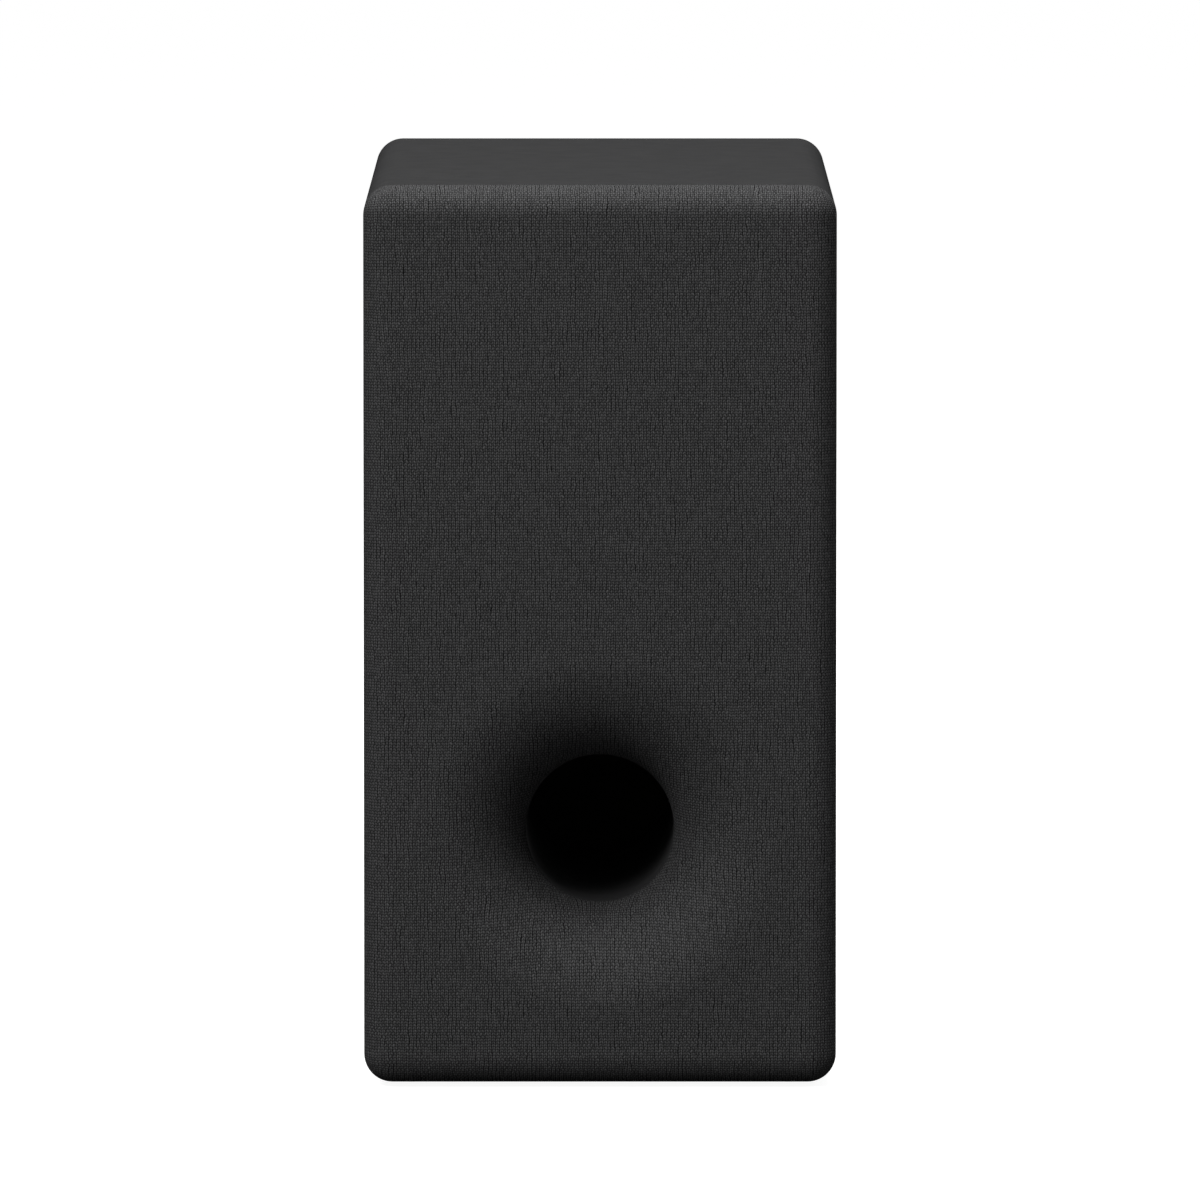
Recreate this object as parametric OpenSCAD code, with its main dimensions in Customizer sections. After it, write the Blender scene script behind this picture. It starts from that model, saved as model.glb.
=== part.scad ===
// Slim bass-reflex subwoofer: a wrapped wooden cabinet with a cloth-covered front,
// a forward driver above a flared port, and an amplifier module in the back.
// Millimetres. +Z is up, the front faces -Y, and the feet stand on z = 0.

/* [Body] */
// Width of the cabinet over its wrap
body_w = 200; // [196:1:300]
// Height of the cabinet without its feet
body_h = 380; // [376:1:560]
// Depth from the cloth front to the back edge
body_d = 402; // [380:1:560]
// Radius of the long edges and of the front edge
edge_r = 12; // [10:0.5:12]
// Thickness of the vinyl wrap
wrap_t = 0.5; // [0.3:0.1:1]
// Thickness of the top, bottom and side panels
panel_t = 12; // [12:0.5:15]
// Thickness of the front baffle
baffle_t = 15; // [12:1:18]
// Thickness of the back board
back_t = 15; // [12:1:18]
// Thickness of the window brace
brace_t = 12; // [9:1:18]
// Height of the rubber feet
foot_h = 2; // [1:0.5:10]
// Radius of the rubber feet
foot_r = 9; // [6:0.5:12]

/* [Grille] */
// Depth of the grille from its front to the seam
grille_d = 25; // [24:0.5:30]
// Wall of the moulded grille frame
grille_wall = 2.5; // [2:0.1:3]
// Thickness of the knitted cloth
cloth_t = 0.8; // [0.5:0.1:1]
// Width of cloth turned in behind the frame
hem_w = 6; // [4:0.5:8]
// Radius of the pegs that hold the grille
peg_r = 2.7; // [2:0.1:3.5]
// Open line between the grille and the cabinet
seam_gap = 0.5; // [0.3:0.1:1]

/* [Port] */
// Inner radius of the port
port_r = 31.5; // [26:0.5:38]
// Radius of the quarter-round flare
flare_r = 44; // [38:1:46]
// Height of the port axis above the cabinet's underside
port_rise = 105; // [105:1:125]
// Length of the duct behind the baffle's face
duct_l = 254; // [150:1:270]
// Wall of the duct
duct_wall = 2.5; // [2:0.1:3.5]
// Radius of the flare at the duct's inner end
tail_r = 14; // [8:1:16]

/* [Driver] */
// Distance of the driver axis below the cabinet's top
driver_drop = 116; // [105:1:118]
// Radius of the driver's basket behind its flange
driver_r = 72; // [60:1:72]
// Width of the driver's flange outside the basket
flange_lap = 12; // [11:0.5:12]
// Radius of the surround's roll
roll_r = 6; // [5:0.5:7]
// Depth of the cone from its rim to its neck
cone_h = 23; // [18:1:26]
// Outer radius of the voice-coil former
former_r = 16.15; // [12:0.05:17]
// Outer radius of the magnet
magnet_r = 50; // [44:1:54]
// Thickness of the magnet
magnet_t = 16; // [12:1:20]
// Furthest travel of the cone each way
travel = 7; // [3:0.5:8]

/* [Amplifier] */
// Width of the amplifier panel
amp_w = 130; // [124:1:160]
// Height of the amplifier panel
amp_h = 180; // [178:1:220]
// Height of the panel's centre above the cabinet's underside
amp_rise = 200; // [195:1:215]
// Thickness of the amplifier panel
amp_t = 2; // [1.5:0.1:3]
// Depth of the plastic housing behind the panel
housing_d = 57; // [54:1:70]
// Radius of the two push buttons
button_r = 4.5; // [3.5:0.1:5]
// Distance that a button travels
button_travel = 0.5; // [0.2:0.05:0.7]
// Spacing of the two inlet pins
pin_pitch = 8.6; // [8.6:0.1:9]

/* [Hidden] */
// Clearances
fit = 0.05;        // running fit, on the radius
cloth_gap = 0.1;   // between the cloth and its frame
part_gap = 0.3;    // between loose neighbours

// Levels
front_y = -body_d / 2;
back_y = body_d / 2;
base_z = foot_h;
top_z = foot_h + body_h;
mid_z = foot_h + body_h / 2;
grille_y = front_y + grille_d;
face_y = grille_y + seam_gap;
lining = wrap_t + panel_t;
inner_w = body_w - 2 * lining;
inner_h = body_h - 2 * lining;

// Grille
cloth_in = cloth_t + cloth_gap;
skin_in = cloth_in + grille_wall;
skin_y = front_y + skin_in;
window_r = driver_r + 2;
guard_r = window_r + 3;
guard_t = 1;
guard_hole_r = 5.5;
guard_pitch = 14;
guard_edge = 8;        // closest that a hole's centre comes to the disc's edge
rim_wall = 2;
rim_h = 3.6;
skin_cut_y = front_y + 8;   // openings in the grille's skin are cut as far back as this
boss_r = 5;
peg_l = 8;
peg_inset = 22;
peg_x = body_w / 2 - peg_inset;
port_z = base_z + port_rise;
driver_z = top_z - driver_drop;
peg_zs = [base_z + 26, driver_z - 76, top_z - 30];   // low, between port and driver, high
socket_r = 5;
socket_lip_r = 6.8;
socket_lip_t = 0.8;
socket_l = 10;

// Port
mouth_r = port_r + flare_r;
face_depth = grille_d + seam_gap;
socket_bore = mouth_r - sqrt(pow(flare_r - skin_in, 2) - pow(flare_r - face_depth, 2)) + 2 * part_gap;
duct_step = flare_r - face_depth + part_gap;
port_flange_r = socket_bore + 12;   // room for the screws outside the socket
port_flange_t = 4;
port_seal_t = 1;
port_hole_r = socket_bore + duct_wall + 0.5;
port_screw_pcr = port_hole_r + 4.6;
port_screw_r = 1.5;
port_screw_gap = 0.4;
port_screw_bore = 14;
port_out_r = port_r + duct_wall;

// Driver, measured inwards from the baffle's face
gasket_t = 1;
flange_t = 3;
flange_d = -gasket_t - flange_t;
flange_r = driver_r + flange_lap;
basket_wall = 2;
basket_in_r = driver_r - basket_wall;
roll_mid_r = basket_in_r - roll_r;
cutout_r = driver_r + 1;
screw_pcr = flange_r - 4.2;
screw_count = 8;
screw_r = 2;
screw_gap = 0.3;       // round a screw in the part that it holds
screw_bore = 13;
lip_r = basket_in_r + 5.5;   // the surround's glued lip ends here
lip_t = 0.8;
trim_t = 2.5;
cone_lip_r = roll_mid_r - roll_r + 0.5;
cone_r = cone_lip_r - 4;
cone_t = 1;
neck_r = former_r + fit;
cone_slope = cone_h / (cone_r - neck_r);
cap_r = former_r + 6;
cap_h = 9;
cap_t = 0.7;
spider_d = 33.3;
spider_r = 46;
spider_t = 0.6;
spider_wave = 1.4;
spider_waves = 5;
spider_steps = 60;
ledge_r = 41;
tail_basket_r = 49;
basket_bend_d = 6;
basket_windows = 6;
basket_window = [40, 38, 22];
basket_window_d = 9;
plate_d = 48.5;
plate_t = 2;
motor_d = plate_d + plate_t;
top_plate_r = 45;
top_plate_t = 6;
coil_t = 1;
coil_h = top_plate_t + travel + 1;
coil_gap = 0.75;
former_t = 0.3;
former_d0 = flange_d + cone_h - 3;
coil_d1 = motor_d + (top_plate_t + coil_h) / 2;
former_d1 = coil_d1 + 1.5;
yoke_t = 6;
yoke_r = magnet_r - 3;
magnet_bore_r = 24;
pole_vent_r = 5;
strip_d = 40;
strip_t = 1.5;
strip_w = 18;
strip_h = 22;
tag_w = 0.8;
tag_h = 5;
tag_step = 4;
tag_d = 48.4;

// Amplifier, measured from the back
head_room = 2;
amp_face = back_y - head_room;
amp_in = amp_face - amp_t;
amp_gasket_t = 1;
board_y = amp_in - amp_gasket_t;
amp_lap = 7;
amp_z = base_z + amp_rise;
hole_w = amp_w - 2 * amp_lap;
hole_h = amp_h - 2 * amp_lap;
housing_w = hole_w - 4;
housing_h = hole_h - 4;
housing_wall = 2.5;
housing_y = amp_in - housing_d;
amp_screw_x = amp_w / 2 - amp_lap / 2;
amp_screw_z = amp_h / 2 - amp_lap / 2;
amp_screw_r = 1.75;
amp_screw_bore = 12;
button_x = 18;
button_z = amp_z + 66;
button_out = 1.2;
button_lip_r = button_r + 1.5;
button_lip_t = 1.1;
stem_r = 1.8;
ctrl_y = amp_in - 10;
pcb_t = 1.6;
ctrl_w = 64;
ctrl_h = 18;
header_h = 3.8;        // the header joins the two boards across this gap
header_w = 20;
header_d = 4;
main_y = ctrl_y - pcb_t - header_h;
main_w = housing_w - 2 * housing_wall - 7;    // 3.5 clear at each side
main_h = housing_h - 2 * housing_wall - 19;   // with room for the control board above
main_z = amp_z - 7;
main_back = main_y - pcb_t;
post_r = 3.5;
post_x = main_w / 2 - 5;
post_zs = [main_z - 62, main_z + 62];
ctrl_post_x = 28;
ctrl_post_r = 3;
m3_r = 1.4;
m3_gap = 0.2;
switch_w = 6;
switch_h = 3.5;
plunger_r = 1.75;
plunger_out = 2 * button_travel;
switch_floor = 0.7;
led_r = 1.5;
led_h = 1;
led_size = [3, 1.6];
inlet_z = amp_z - 62;
inlet_w = 26;
inlet_h = 18;
recess_w = 19;
recess_h = 11;
recess_d = 14.5;
inlet_collar = 1.5;
inlet_pin_r = 1.18;
inlet_pin_drop = 2.5;
block_x = 12 - main_w / 2;
block_z = amp_z + 43;
block_w = 12;
block_h = 9;
block_l = 8;
lead_r = 1.3;
lead_step = 3;
grommet_r = 8;
grommet_lip = 2.5;
grommet_lip_t = 1.5;

// Parts on the main board, whose depths run out from its inner face
sink_w = main_w - 44;
sink_h = 44;
sink_x = (sink_w - main_w) / 2 + 8;
sink_z = amp_z + 8;
sink_base_t = 4;
sink_l = 27;
fin_t = 1.6;
fin_count = 9;
fin_pitch = (sink_w - fin_t) / (fin_count - 1);
trafo_x = main_w / 2 - 20;
trafo_z = amp_z - 38;
core_w = 30;
core_h = 12;
core_l = 28;
core_foot = 2;
winding_w = 22;
winding_h = 32;
winding_l = 26;
can_r = 9;
can_l = 31;
can_pitch = 21;
can_count = 3;
can_z = amp_z - 34;
coil_x = main_w / 2 - 18;
coil_zs = [amp_z - 6, amp_z + 18];
coil_out_r = 10;
coil_bore_r = 4.5;
coil_l = 10;
radio_x = main_w / 2 - 30;
radio_z = amp_z + 41;
radio_board = [30, 18, 1];
radio_can = [22, 15, 3.4];

// Screws, each as [radius, length, head radius, head height]
driver_screw = [screw_r, 16, 3.4, 2.4];
port_screw = [port_screw_r, 13, 3, 2];
amp_screw = [amp_screw_r, 14, 3.1, 1.8];
main_screw = [m3_r, 8, 2.7, 1.8];
ctrl_screw = [m3_r, 7, 2.7, 1.8];

// Middle lines of the two speaker leads, before each is shifted to its own side
lead_route = [
    [-38, 172, 245], [-38, 158, 245], [-38, 140, 245], [-38, 122, 244], [-40, 96, 238],
    [-43, 64, 230], [-46, 32, 226], [-48, 0, 226], [-51, -32, 232], [-55, -62, 244],
    [-58, -88, 256], [-60, -106, 263], [-60, -118, 266], [-60, -127, 266]];
lead_rings = 30;
// One tinsel lead, as distance from the driver's axis and depth behind the baffle's face
tinsel_route = [[54, 39.9], [55, 36], [55, 31], [52, 27], [47, 24], [41, 21], [37, 17], [35, 12]];
tinsel_rings = 9;
tinsel_r = 0.6;
tinsel_z = 6;

// Feet, brace and wadding
foot_x = body_w / 2 - 20;
foot_y = body_d / 2 - 37;
brace_y = front_y + 201;      // about halfway down the cabinet
brace_window_w = inner_w - 65;
brace_window_gap = 26;
wadding_t = 15;
wadding_gap = 6;
wadding_end = 14;

// ---- Shared shapes ----

// A solid of revolution or a rod whose axis runs in from [x, y, z] towards the back
module along_y(x, y, z) translate([x, y, z]) rotate([-90, 0, 0]) children();

// A rod from y0 to y1
module rod(x, z, r, y0, y1) along_y(x, y0, z) cylinder(r = r, h = y1 - y0, $fn = 64);

// An outline drawn as [x, z], given thickness from y0 to y1
module slab(y0, y1) translate([0, y1, 0]) rotate([90, 0, 0]) linear_extrude(height = y1 - y0) children();

// A box given by its middle in x and z, its size, and its two y levels
module block(x, z, w, h, y0, y1) translate([x - w / 2, y0, z - h / 2]) cube([w, y1 - y0, h]);

// A block with round long edges, centred on the cabinet
module round_bar(w, h, r, y0, y1) {
    block(0, mid_z, w - 2 * r, h, y0, y1);
    block(0, mid_z, w, h - 2 * r, y0, y1);
    for (sx = [-1, 1], sz = [-1, 1]) rod(sx * (w / 2 - r), mid_z + sz * (h / 2 - r), r, y0, y1);
}

// A ball whose facets reach its full radius along each axis
module ball(r) rotate_extrude($fn = 32) intersection() {
    circle(r = r, $fn = 32);
    translate([0, -r]) square([r, 2 * r]);
}

// The grille's rounded form, set in all round by inset, with its open side at y1
module front_form(inset, y1) {
    r = edge_r - inset;
    hull() for (sx = [-1, 1], sz = [-1, 1]) {
        x = sx * (body_w / 2 - edge_r);
        z = mid_z + sz * (body_h / 2 - edge_r);
        translate([x, front_y + edge_r, z]) ball(r);
        along_y(x, front_y + edge_r, z) cylinder(r = r, h = y1 - front_y - edge_r, $fn = 32);
    }
}

// Points along an arc, with its angles in degrees
function arc(cx, cy, r, a0, a1, n) = [
    for (i = [0:n]) let (a = a0 + (a1 - a0) * i / n) [cx + r * cos(a), cy + r * sin(a)]];

// The quarter-round flare between two depths below its surface, from the mouth to the throat
module flare(d0, d1) along_y(0, front_y, port_z) rotate_extrude($fn = 96) polygon(concat(
    arc(mouth_r, flare_r, flare_r - d0, 270, 180, 18),
    arc(mouth_r, flare_r, flare_r - d1, 180, 270, 18)));

// Copies placed round an axis at [0, z]
module ring_of(n, r, z, turn = 0) for (i = [0:n - 1]) {
    a = turn + 360 * i / n;
    translate([r * cos(a), 0, z + r * sin(a)]) children();
}
// Places that the screws of the driver, the port and the amplifier take
module driver_screw_places() ring_of(screw_count, screw_pcr, driver_z, 22.5) children();
module port_screw_places() ring_of(4, port_screw_pcr, port_z, 45) children();
module amp_screw_places() for (sx = [-1, 0, 1], sz = [-1, 0, 1]) if (sx != 0 || sz != 0)
    translate([sx * amp_screw_x, 0, amp_z + sz * amp_screw_z]) children();

// Points of a smooth curve through a list
function spline(p, t) = let (
    n = len(p) - 1, i = min(floor(t * n), n - 1), u = t * n - i,
    a = p[max(i - 1, 0)], b = p[i], c = p[i + 1], d = p[min(i + 2, n)],
    bend = 2 * a - 5 * b + 4 * c - d, twist = 3 * b - a - 3 * c + d)
    0.5 * (2 * b + (c - a) * u + bend * u * u + twist * u * u * u);
function unit(v) = v / norm(v);

// A round lead swept along a route with a ring of 8 points at each step
module lead(route, rings, r) {
    c = [for (i = [0:rings]) spline(route, i / rings)];
    t = [for (i = [0:rings]) unit(c[min(i + 1, rings)] - c[max(i - 1, 0)])];
    pts = [for (i = [0:rings]) let (n = unit(cross(t[i], [0, 0, 1])), b = cross(n, t[i]))
        for (k = [0:7]) c[i] + r * (cos(45 * k) * n + sin(45 * k) * b)];
    sides = [for (i = [0:rings - 1], k = [0:7]) let (m = (k + 1) % 8)
        [i * 8 + k, i * 8 + m, (i + 1) * 8 + m, (i + 1) * 8 + k]];
    polyhedron(pts, concat([[7, 6, 5, 4, 3, 2, 1, 0]], sides, [[for (k = [0:7]) rings * 8 + k]]));
}

// A pan-head screw whose head lies on y, pointing to the back if way is 1 and to the front if -1
module screw(x, z, y, way, size) {
    tip = y + way * size[1];
    top = y - way * size[3];
    rod(x, z, size[0], min(y, tip), max(y, tip));
    rod(x, z, size[2], min(y, top), max(y, top));
}

// ---- Cabinet ----

// The wrap covers the box, folds over the panels' back ends and turns in as far as the back board
module vinyl_wrap() color([0.23, 0.23, 0.24]) {
    difference() {
        round_bar(body_w, body_h, edge_r, face_y, back_y);
        round_bar(body_w - 2 * wrap_t, body_h - 2 * wrap_t, edge_r - wrap_t, face_y - 1, back_y - wrap_t);
        block(0, mid_z, inner_w, inner_h, face_y - 1, back_y + 1);
    }
    difference() {
        block(0, mid_z, inner_w, inner_h, board_y, back_y);
        block(0, mid_z, inner_w - 2 * wrap_t, inner_h - 2 * wrap_t, board_y - 1, back_y + 1);
    }
}

// One mitred panel: the wall's ring cut by an outline that runs out through its corners.
// Its long edges are eased a little more than the wrap, which bridges them.
module wall_panel(outline) color([0.62, 0.48, 0.33]) intersection() {
    difference() {
        round_bar(body_w - 2 * wrap_t, body_h - 2 * wrap_t, edge_r - wrap_t + part_gap,
            face_y, back_y - wrap_t);
        block(0, mid_z, inner_w, inner_h, face_y - 1, back_y + 1);
    }
    slab(face_y - 1, back_y + 1) polygon(outline);
}
function cap_outline(s) = [
    [-body_w / 2, mid_z + s * body_h / 2], [-inner_w / 2, mid_z + s * inner_h / 2],
    [inner_w / 2, mid_z + s * inner_h / 2], [body_w / 2, mid_z + s * body_h / 2]];
function side_outline(s) = [
    [s * body_w / 2, base_z], [s * inner_w / 2, mid_z - inner_h / 2],
    [s * inner_w / 2, mid_z + inner_h / 2], [s * body_w / 2, top_z]];
module top_panel() wall_panel(cap_outline(1));
module bottom_panel() wall_panel(cap_outline(-1));
module left_panel() wall_panel(side_outline(-1));
module right_panel() wall_panel(side_outline(1));

module front_baffle() color([0.6, 0.46, 0.31]) difference() {
    block(0, mid_z, inner_w, inner_h, face_y, face_y + baffle_t);
    rod(0, driver_z, cutout_r, face_y - 1, face_y + baffle_t + 1);
    rod(0, port_z, port_hole_r, face_y - 1, face_y + baffle_t + 1);
    rod(0, port_z, port_flange_r + part_gap, face_y - 1, face_y + port_flange_t + port_seal_t);
    driver_screw_places() rod(0, 0, screw_r + fit, face_y - 1, face_y + screw_bore);
    port_screw_places() rod(0, 0, port_screw_r + fit, face_y, face_y + port_screw_bore);
    for (sx = [-1, 1], z = peg_zs) rod(sx * peg_x, z, socket_r, face_y - 1, face_y + socket_l);
}

module back_board() color([0.6, 0.46, 0.31]) difference() {
    block(0, mid_z, inner_w, inner_h, board_y - back_t, board_y);
    block(0, amp_z, hole_w, hole_h, board_y - back_t - 1, board_y + 1);
    amp_screw_places() rod(0, 0, amp_screw_r + fit, board_y - amp_screw_bore, board_y + 1);
}

module window_brace() color([0.58, 0.44, 0.3]) difference() {
    window_z = port_z + port_out_r + brace_window_gap;
    window_h = mid_z + inner_h / 2 - brace_window_gap - window_z;
    block(0, mid_z, inner_w, inner_h, brace_y, brace_y + brace_t);
    rod(0, port_z, port_out_r + part_gap, brace_y - 1, brace_y + brace_t + 1);
    block(0, window_z + window_h / 2, brace_window_w, window_h, brace_y - 1, brace_y + brace_t + 1);
}

module foot(sx, sy) color([0.06, 0.06, 0.06]) translate([sx * foot_x, sy * foot_y, 0])
    cylinder(r = foot_r, h = foot_h, $fn = 64);
module foot_front_left() foot(-1, -1);
module foot_front_right() foot(1, -1);
module foot_rear_left() foot(-1, 1);
module foot_rear_right() foot(1, 1);

// Fibre pad on a side wall, between the brace and the back board
module wadding(s) color([0.85, 0.85, 0.82]) block(
    s * (inner_w / 2 - part_gap - wadding_t / 2), mid_z, wadding_t, inner_h - 2 * wadding_end,
    brace_y + brace_t + wadding_gap, board_y - back_t - wadding_gap);
module wadding_left() wadding(-1);
module wadding_right() wadding(1);

// ---- Grille ----

module grille_frame() color([0.1, 0.1, 0.1]) {
    rear = grille_y - cloth_in;
    difference() {
        front_form(cloth_in, rear);
        front_form(skin_in, rear + 2);
        rod(0, driver_z, window_r, front_y - 1, skin_cut_y);
        rod(0, port_z, mouth_r, front_y - 1, skin_cut_y);
    }
    flare(cloth_in, skin_in);
    difference() {
        rod(0, driver_z, guard_r + part_gap + rim_wall, skin_y, skin_y + rim_h);
        rod(0, driver_z, guard_r + part_gap, skin_y - 1, skin_y + rim_h + 1);
    }
    for (sx = [-1, 1], z = peg_zs) {
        rod(sx * peg_x, z, boss_r, skin_y, face_y - socket_lip_t - 0.2);
        rod(sx * peg_x, z, peg_r, skin_y, face_y + peg_l);
    }
}

module grille_fabric() color([0.18, 0.18, 0.185]) {
    difference() {
        front_form(0, grille_y);
        front_form(cloth_t, grille_y - cloth_t);
        front_form(cloth_t + hem_w, grille_y + 2);
        rod(0, port_z, mouth_r, front_y - 1, front_y + 3);
    }
    flare(0, cloth_t);
}

// Perforated disc that keeps fingers off the cone
module driver_guard() color([0.15, 0.15, 0.15]) difference() {
    rod(0, driver_z, guard_r, skin_y, skin_y + guard_t);
    n = floor((guard_r - guard_edge) / guard_pitch);
    for (i = [-n:n], j = [-n - 1:n + 1]) {
        x = guard_pitch * (i + (abs(j) % 2) / 2);
        z = guard_pitch * j * sqrt(3) / 2;
        if (norm([x, z]) < guard_r - guard_edge)
            rod(x, driver_z + z, guard_hole_r, skin_y - 1, skin_y + guard_t + 1);
    }
}

module grille_sockets() color([0.07, 0.07, 0.07]) for (sx = [-1, 1], z = peg_zs) difference() {
    union() {
        rod(sx * peg_x, z, socket_lip_r, face_y - socket_lip_t, face_y);
        rod(sx * peg_x, z, socket_r, face_y, face_y + socket_l);
    }
    rod(sx * peg_x, z, peg_r + fit, face_y - 2, face_y + socket_l - 1);
}

// ---- Port ----

module port_duct() color([0.09, 0.09, 0.1]) difference() {
    straight = duct_l - tail_r;
    tail_x = port_r + tail_r;
    along_y(0, face_y, port_z) rotate_extrude($fn = 96) polygon(concat(
        [[socket_bore, 0], [port_flange_r, 0], [port_flange_r, port_flange_t],
         [socket_bore + duct_wall, port_flange_t], [socket_bore + duct_wall, duct_step],
         [port_out_r, duct_step + duct_wall + 2]],
        arc(tail_x, straight, tail_r - duct_wall, 180, 90, 8),
        arc(tail_x, straight, tail_r, 90, 180, 8),
        [[port_r, duct_step], [socket_bore, duct_step]]));
    port_screw_places() rod(0, 0, port_screw_r + port_screw_gap, face_y - 1, face_y + port_flange_t + 1);
}

module port_seal() color([0.04, 0.04, 0.04]) difference() {
    rod(0, port_z, port_flange_r, face_y + port_flange_t, face_y + port_flange_t + port_seal_t);
    rod(0, port_z, port_hole_r, face_y, face_y + baffle_t);
    port_screw_places() rod(0, 0, port_screw_r + port_screw_gap, face_y, face_y + baffle_t);
}

module port_screws() color([0.12, 0.12, 0.12]) port_screw_places() screw(0, 0, face_y, 1, port_screw);

// ---- Driver ----

module on_driver() along_y(0, face_y, driver_z) children();
module turned(points) on_driver() rotate_extrude($fn = 96) polygon(points);

module driver_gasket() color([0.05, 0.05, 0.05]) difference() {
    rod(0, driver_z, flange_r - 0.5, face_y - gasket_t, face_y);
    rod(0, driver_z, cutout_r, face_y - gasket_t - 1, face_y + 1);
    driver_screw_places() rod(0, 0, screw_r + screw_gap, face_y - gasket_t - 1, face_y + 1);
}

module driver_basket() color([0.16, 0.16, 0.17]) difference() {
    ledge_d = spider_d + spider_t / 2 + fit;
    tail_in = tail_basket_r - basket_wall;
    turned([
        [flange_r, flange_d], [flange_r, -gasket_t], [driver_r, -gasket_t], [driver_r, basket_bend_d],
        [tail_basket_r, ledge_d], [tail_basket_r, motor_d], [former_r + 4, motor_d],
        [former_r + 4, plate_d],
        [tail_in, plate_d], [tail_in, ledge_d + basket_wall], [ledge_r, ledge_d + basket_wall],
        [ledge_r, ledge_d], [tail_in, ledge_d], [basket_in_r, basket_bend_d], [basket_in_r, flange_d]]);
    on_driver() for (i = [0:basket_windows - 1]) rotate([0, 0, 360 * i / basket_windows])
        translate([ledge_r + 4, -basket_window[1] / 2, basket_window_d]) cube(basket_window);
    driver_screw_places() rod(0, 0, screw_r + screw_gap, face_y + flange_d - 1, face_y);
}

module driver_trim_ring() color([0.08, 0.08, 0.08]) turned([
    [basket_in_r + 0.6, flange_d - lip_t], [lip_r + 0.3, flange_d - lip_t],
    [lip_r + 0.3, flange_d - lip_t - trim_t + 1], [lip_r - 0.7, flange_d - lip_t - trim_t],
    [basket_in_r + 1.6, flange_d - lip_t - trim_t], [basket_in_r + 0.6, flange_d - lip_t - trim_t + 1]]);

module driver_screws() color([0.1, 0.1, 0.1])
    driver_screw_places() screw(0, 0, face_y + flange_d, 1, driver_screw);

module surround() color([0.05, 0.05, 0.05]) turned(concat(
    [[cone_r, flange_d], [cone_r, flange_d - lip_t]],
    arc(roll_mid_r, flange_d - lip_t, roll_r + lip_t / 2, 180, 360, 20),
    [[lip_r, flange_d - lip_t], [lip_r, flange_d]],
    arc(roll_mid_r, flange_d, roll_r - lip_t / 2, 360, 180, 20)));

module cone() color([0.09, 0.09, 0.1]) turned([
    [neck_r, flange_d + cone_h], [cone_r, flange_d], [cone_lip_r, flange_d],
    [cone_lip_r, flange_d + cone_t], [cone_r + 0.6, flange_d + cone_t],
    [neck_r, flange_d + cone_h + 1.4 * cone_t]]);

module dust_cap() color([0.07, 0.07, 0.075]) {
    rim_d = flange_d + (cone_r - cap_r) * cone_slope - cap_t - fit;
    turned(concat(
        [for (i = [0:12]) [cap_r * i / 12, rim_d - cap_h * (1 - pow(i / 12, 2))]],
        [for (i = [12:-1:0]) [cap_r * i / 12, rim_d + cap_t - cap_h * (1 - pow(i / 12, 2))]]));
}

module voice_coil_former() color([0.55, 0.4, 0.2]) turned([
    [former_r - former_t, former_d0], [former_r, former_d0],
    [former_r, former_d1], [former_r - former_t, former_d1]]);

module voice_coil() color([0.72, 0.4, 0.2]) turned([
    [former_r + 0.01, coil_d1 - coil_h], [former_r + coil_t, coil_d1 - coil_h],
    [former_r + coil_t, coil_d1], [former_r + 0.01, coil_d1]]);

module spider() color([0.75, 0.55, 0.2]) {
    r0 = former_r + 2.6;   // flat collar on the former
    r1 = ledge_r - 0.5;    // flat lip on the basket's ledge
    wave = [for (i = [0:spider_steps]) let (u = i / spider_steps)
        [r0 + (r1 - r0) * u, spider_d - spider_wave * sin(360 * spider_waves * u)]];
    turned(concat(
        [[former_r + 0.1, spider_d - spider_t / 2]], [for (p = wave) p - [0, spider_t / 2]],
        [[spider_r, spider_d - spider_t / 2], [spider_r, spider_d + spider_t / 2]],
        [for (i = [spider_steps:-1:0]) wave[i] + [0, spider_t / 2]],
        [[former_r + 0.1, spider_d + spider_t / 2]]));
}

module top_plate() color([0.5, 0.5, 0.52]) turned([
    [former_r + coil_t + coil_gap, motor_d], [top_plate_r, motor_d],
    [top_plate_r, motor_d + top_plate_t], [former_r + coil_t + coil_gap, motor_d + top_plate_t]]);

module magnet() color([0.2, 0.2, 0.21]) turned([
    [magnet_bore_r, motor_d + top_plate_t], [magnet_r, motor_d + top_plate_t],
    [magnet_r, motor_d + top_plate_t + magnet_t], [magnet_bore_r, motor_d + top_plate_t + magnet_t]]);

module yoke() color([0.5, 0.5, 0.52]) {
    pole_r = former_r - former_t - coil_gap;
    base_d = motor_d + top_plate_t + magnet_t;
    turned([
        [pole_vent_r, motor_d], [pole_r, motor_d], [pole_r, base_d], [yoke_r, base_d],
        [yoke_r, base_d + yoke_t - 1], [yoke_r - 1, base_d + yoke_t], [pole_vent_r, base_d + yoke_t]]);
}

// Tag strip on the basket's waist with two brass tags
module terminal_strip() color([0.55, 0.35, 0.15]) {
    y = face_y + strip_d;
    difference() {
        block(-tail_basket_r - 8, driver_z, strip_w, strip_h, y, y + strip_t);
        rod(0, driver_z, tail_basket_r + 0.1, y - 1, y + strip_t + 1);
    }
    for (s = [-1, 1])
        block(-tail_basket_r - 11, driver_z + s * tag_step, tag_w, tag_h, y + strip_t, face_y + tag_d);
}

module tinsel_leads() color([0.75, 0.68, 0.5]) for (s = [-1, 1]) {
    route = [for (p = tinsel_route) [-p[0], face_y + p[1], driver_z + s * tinsel_z]];
    lead(route, tinsel_rings, tinsel_r);
}

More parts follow.
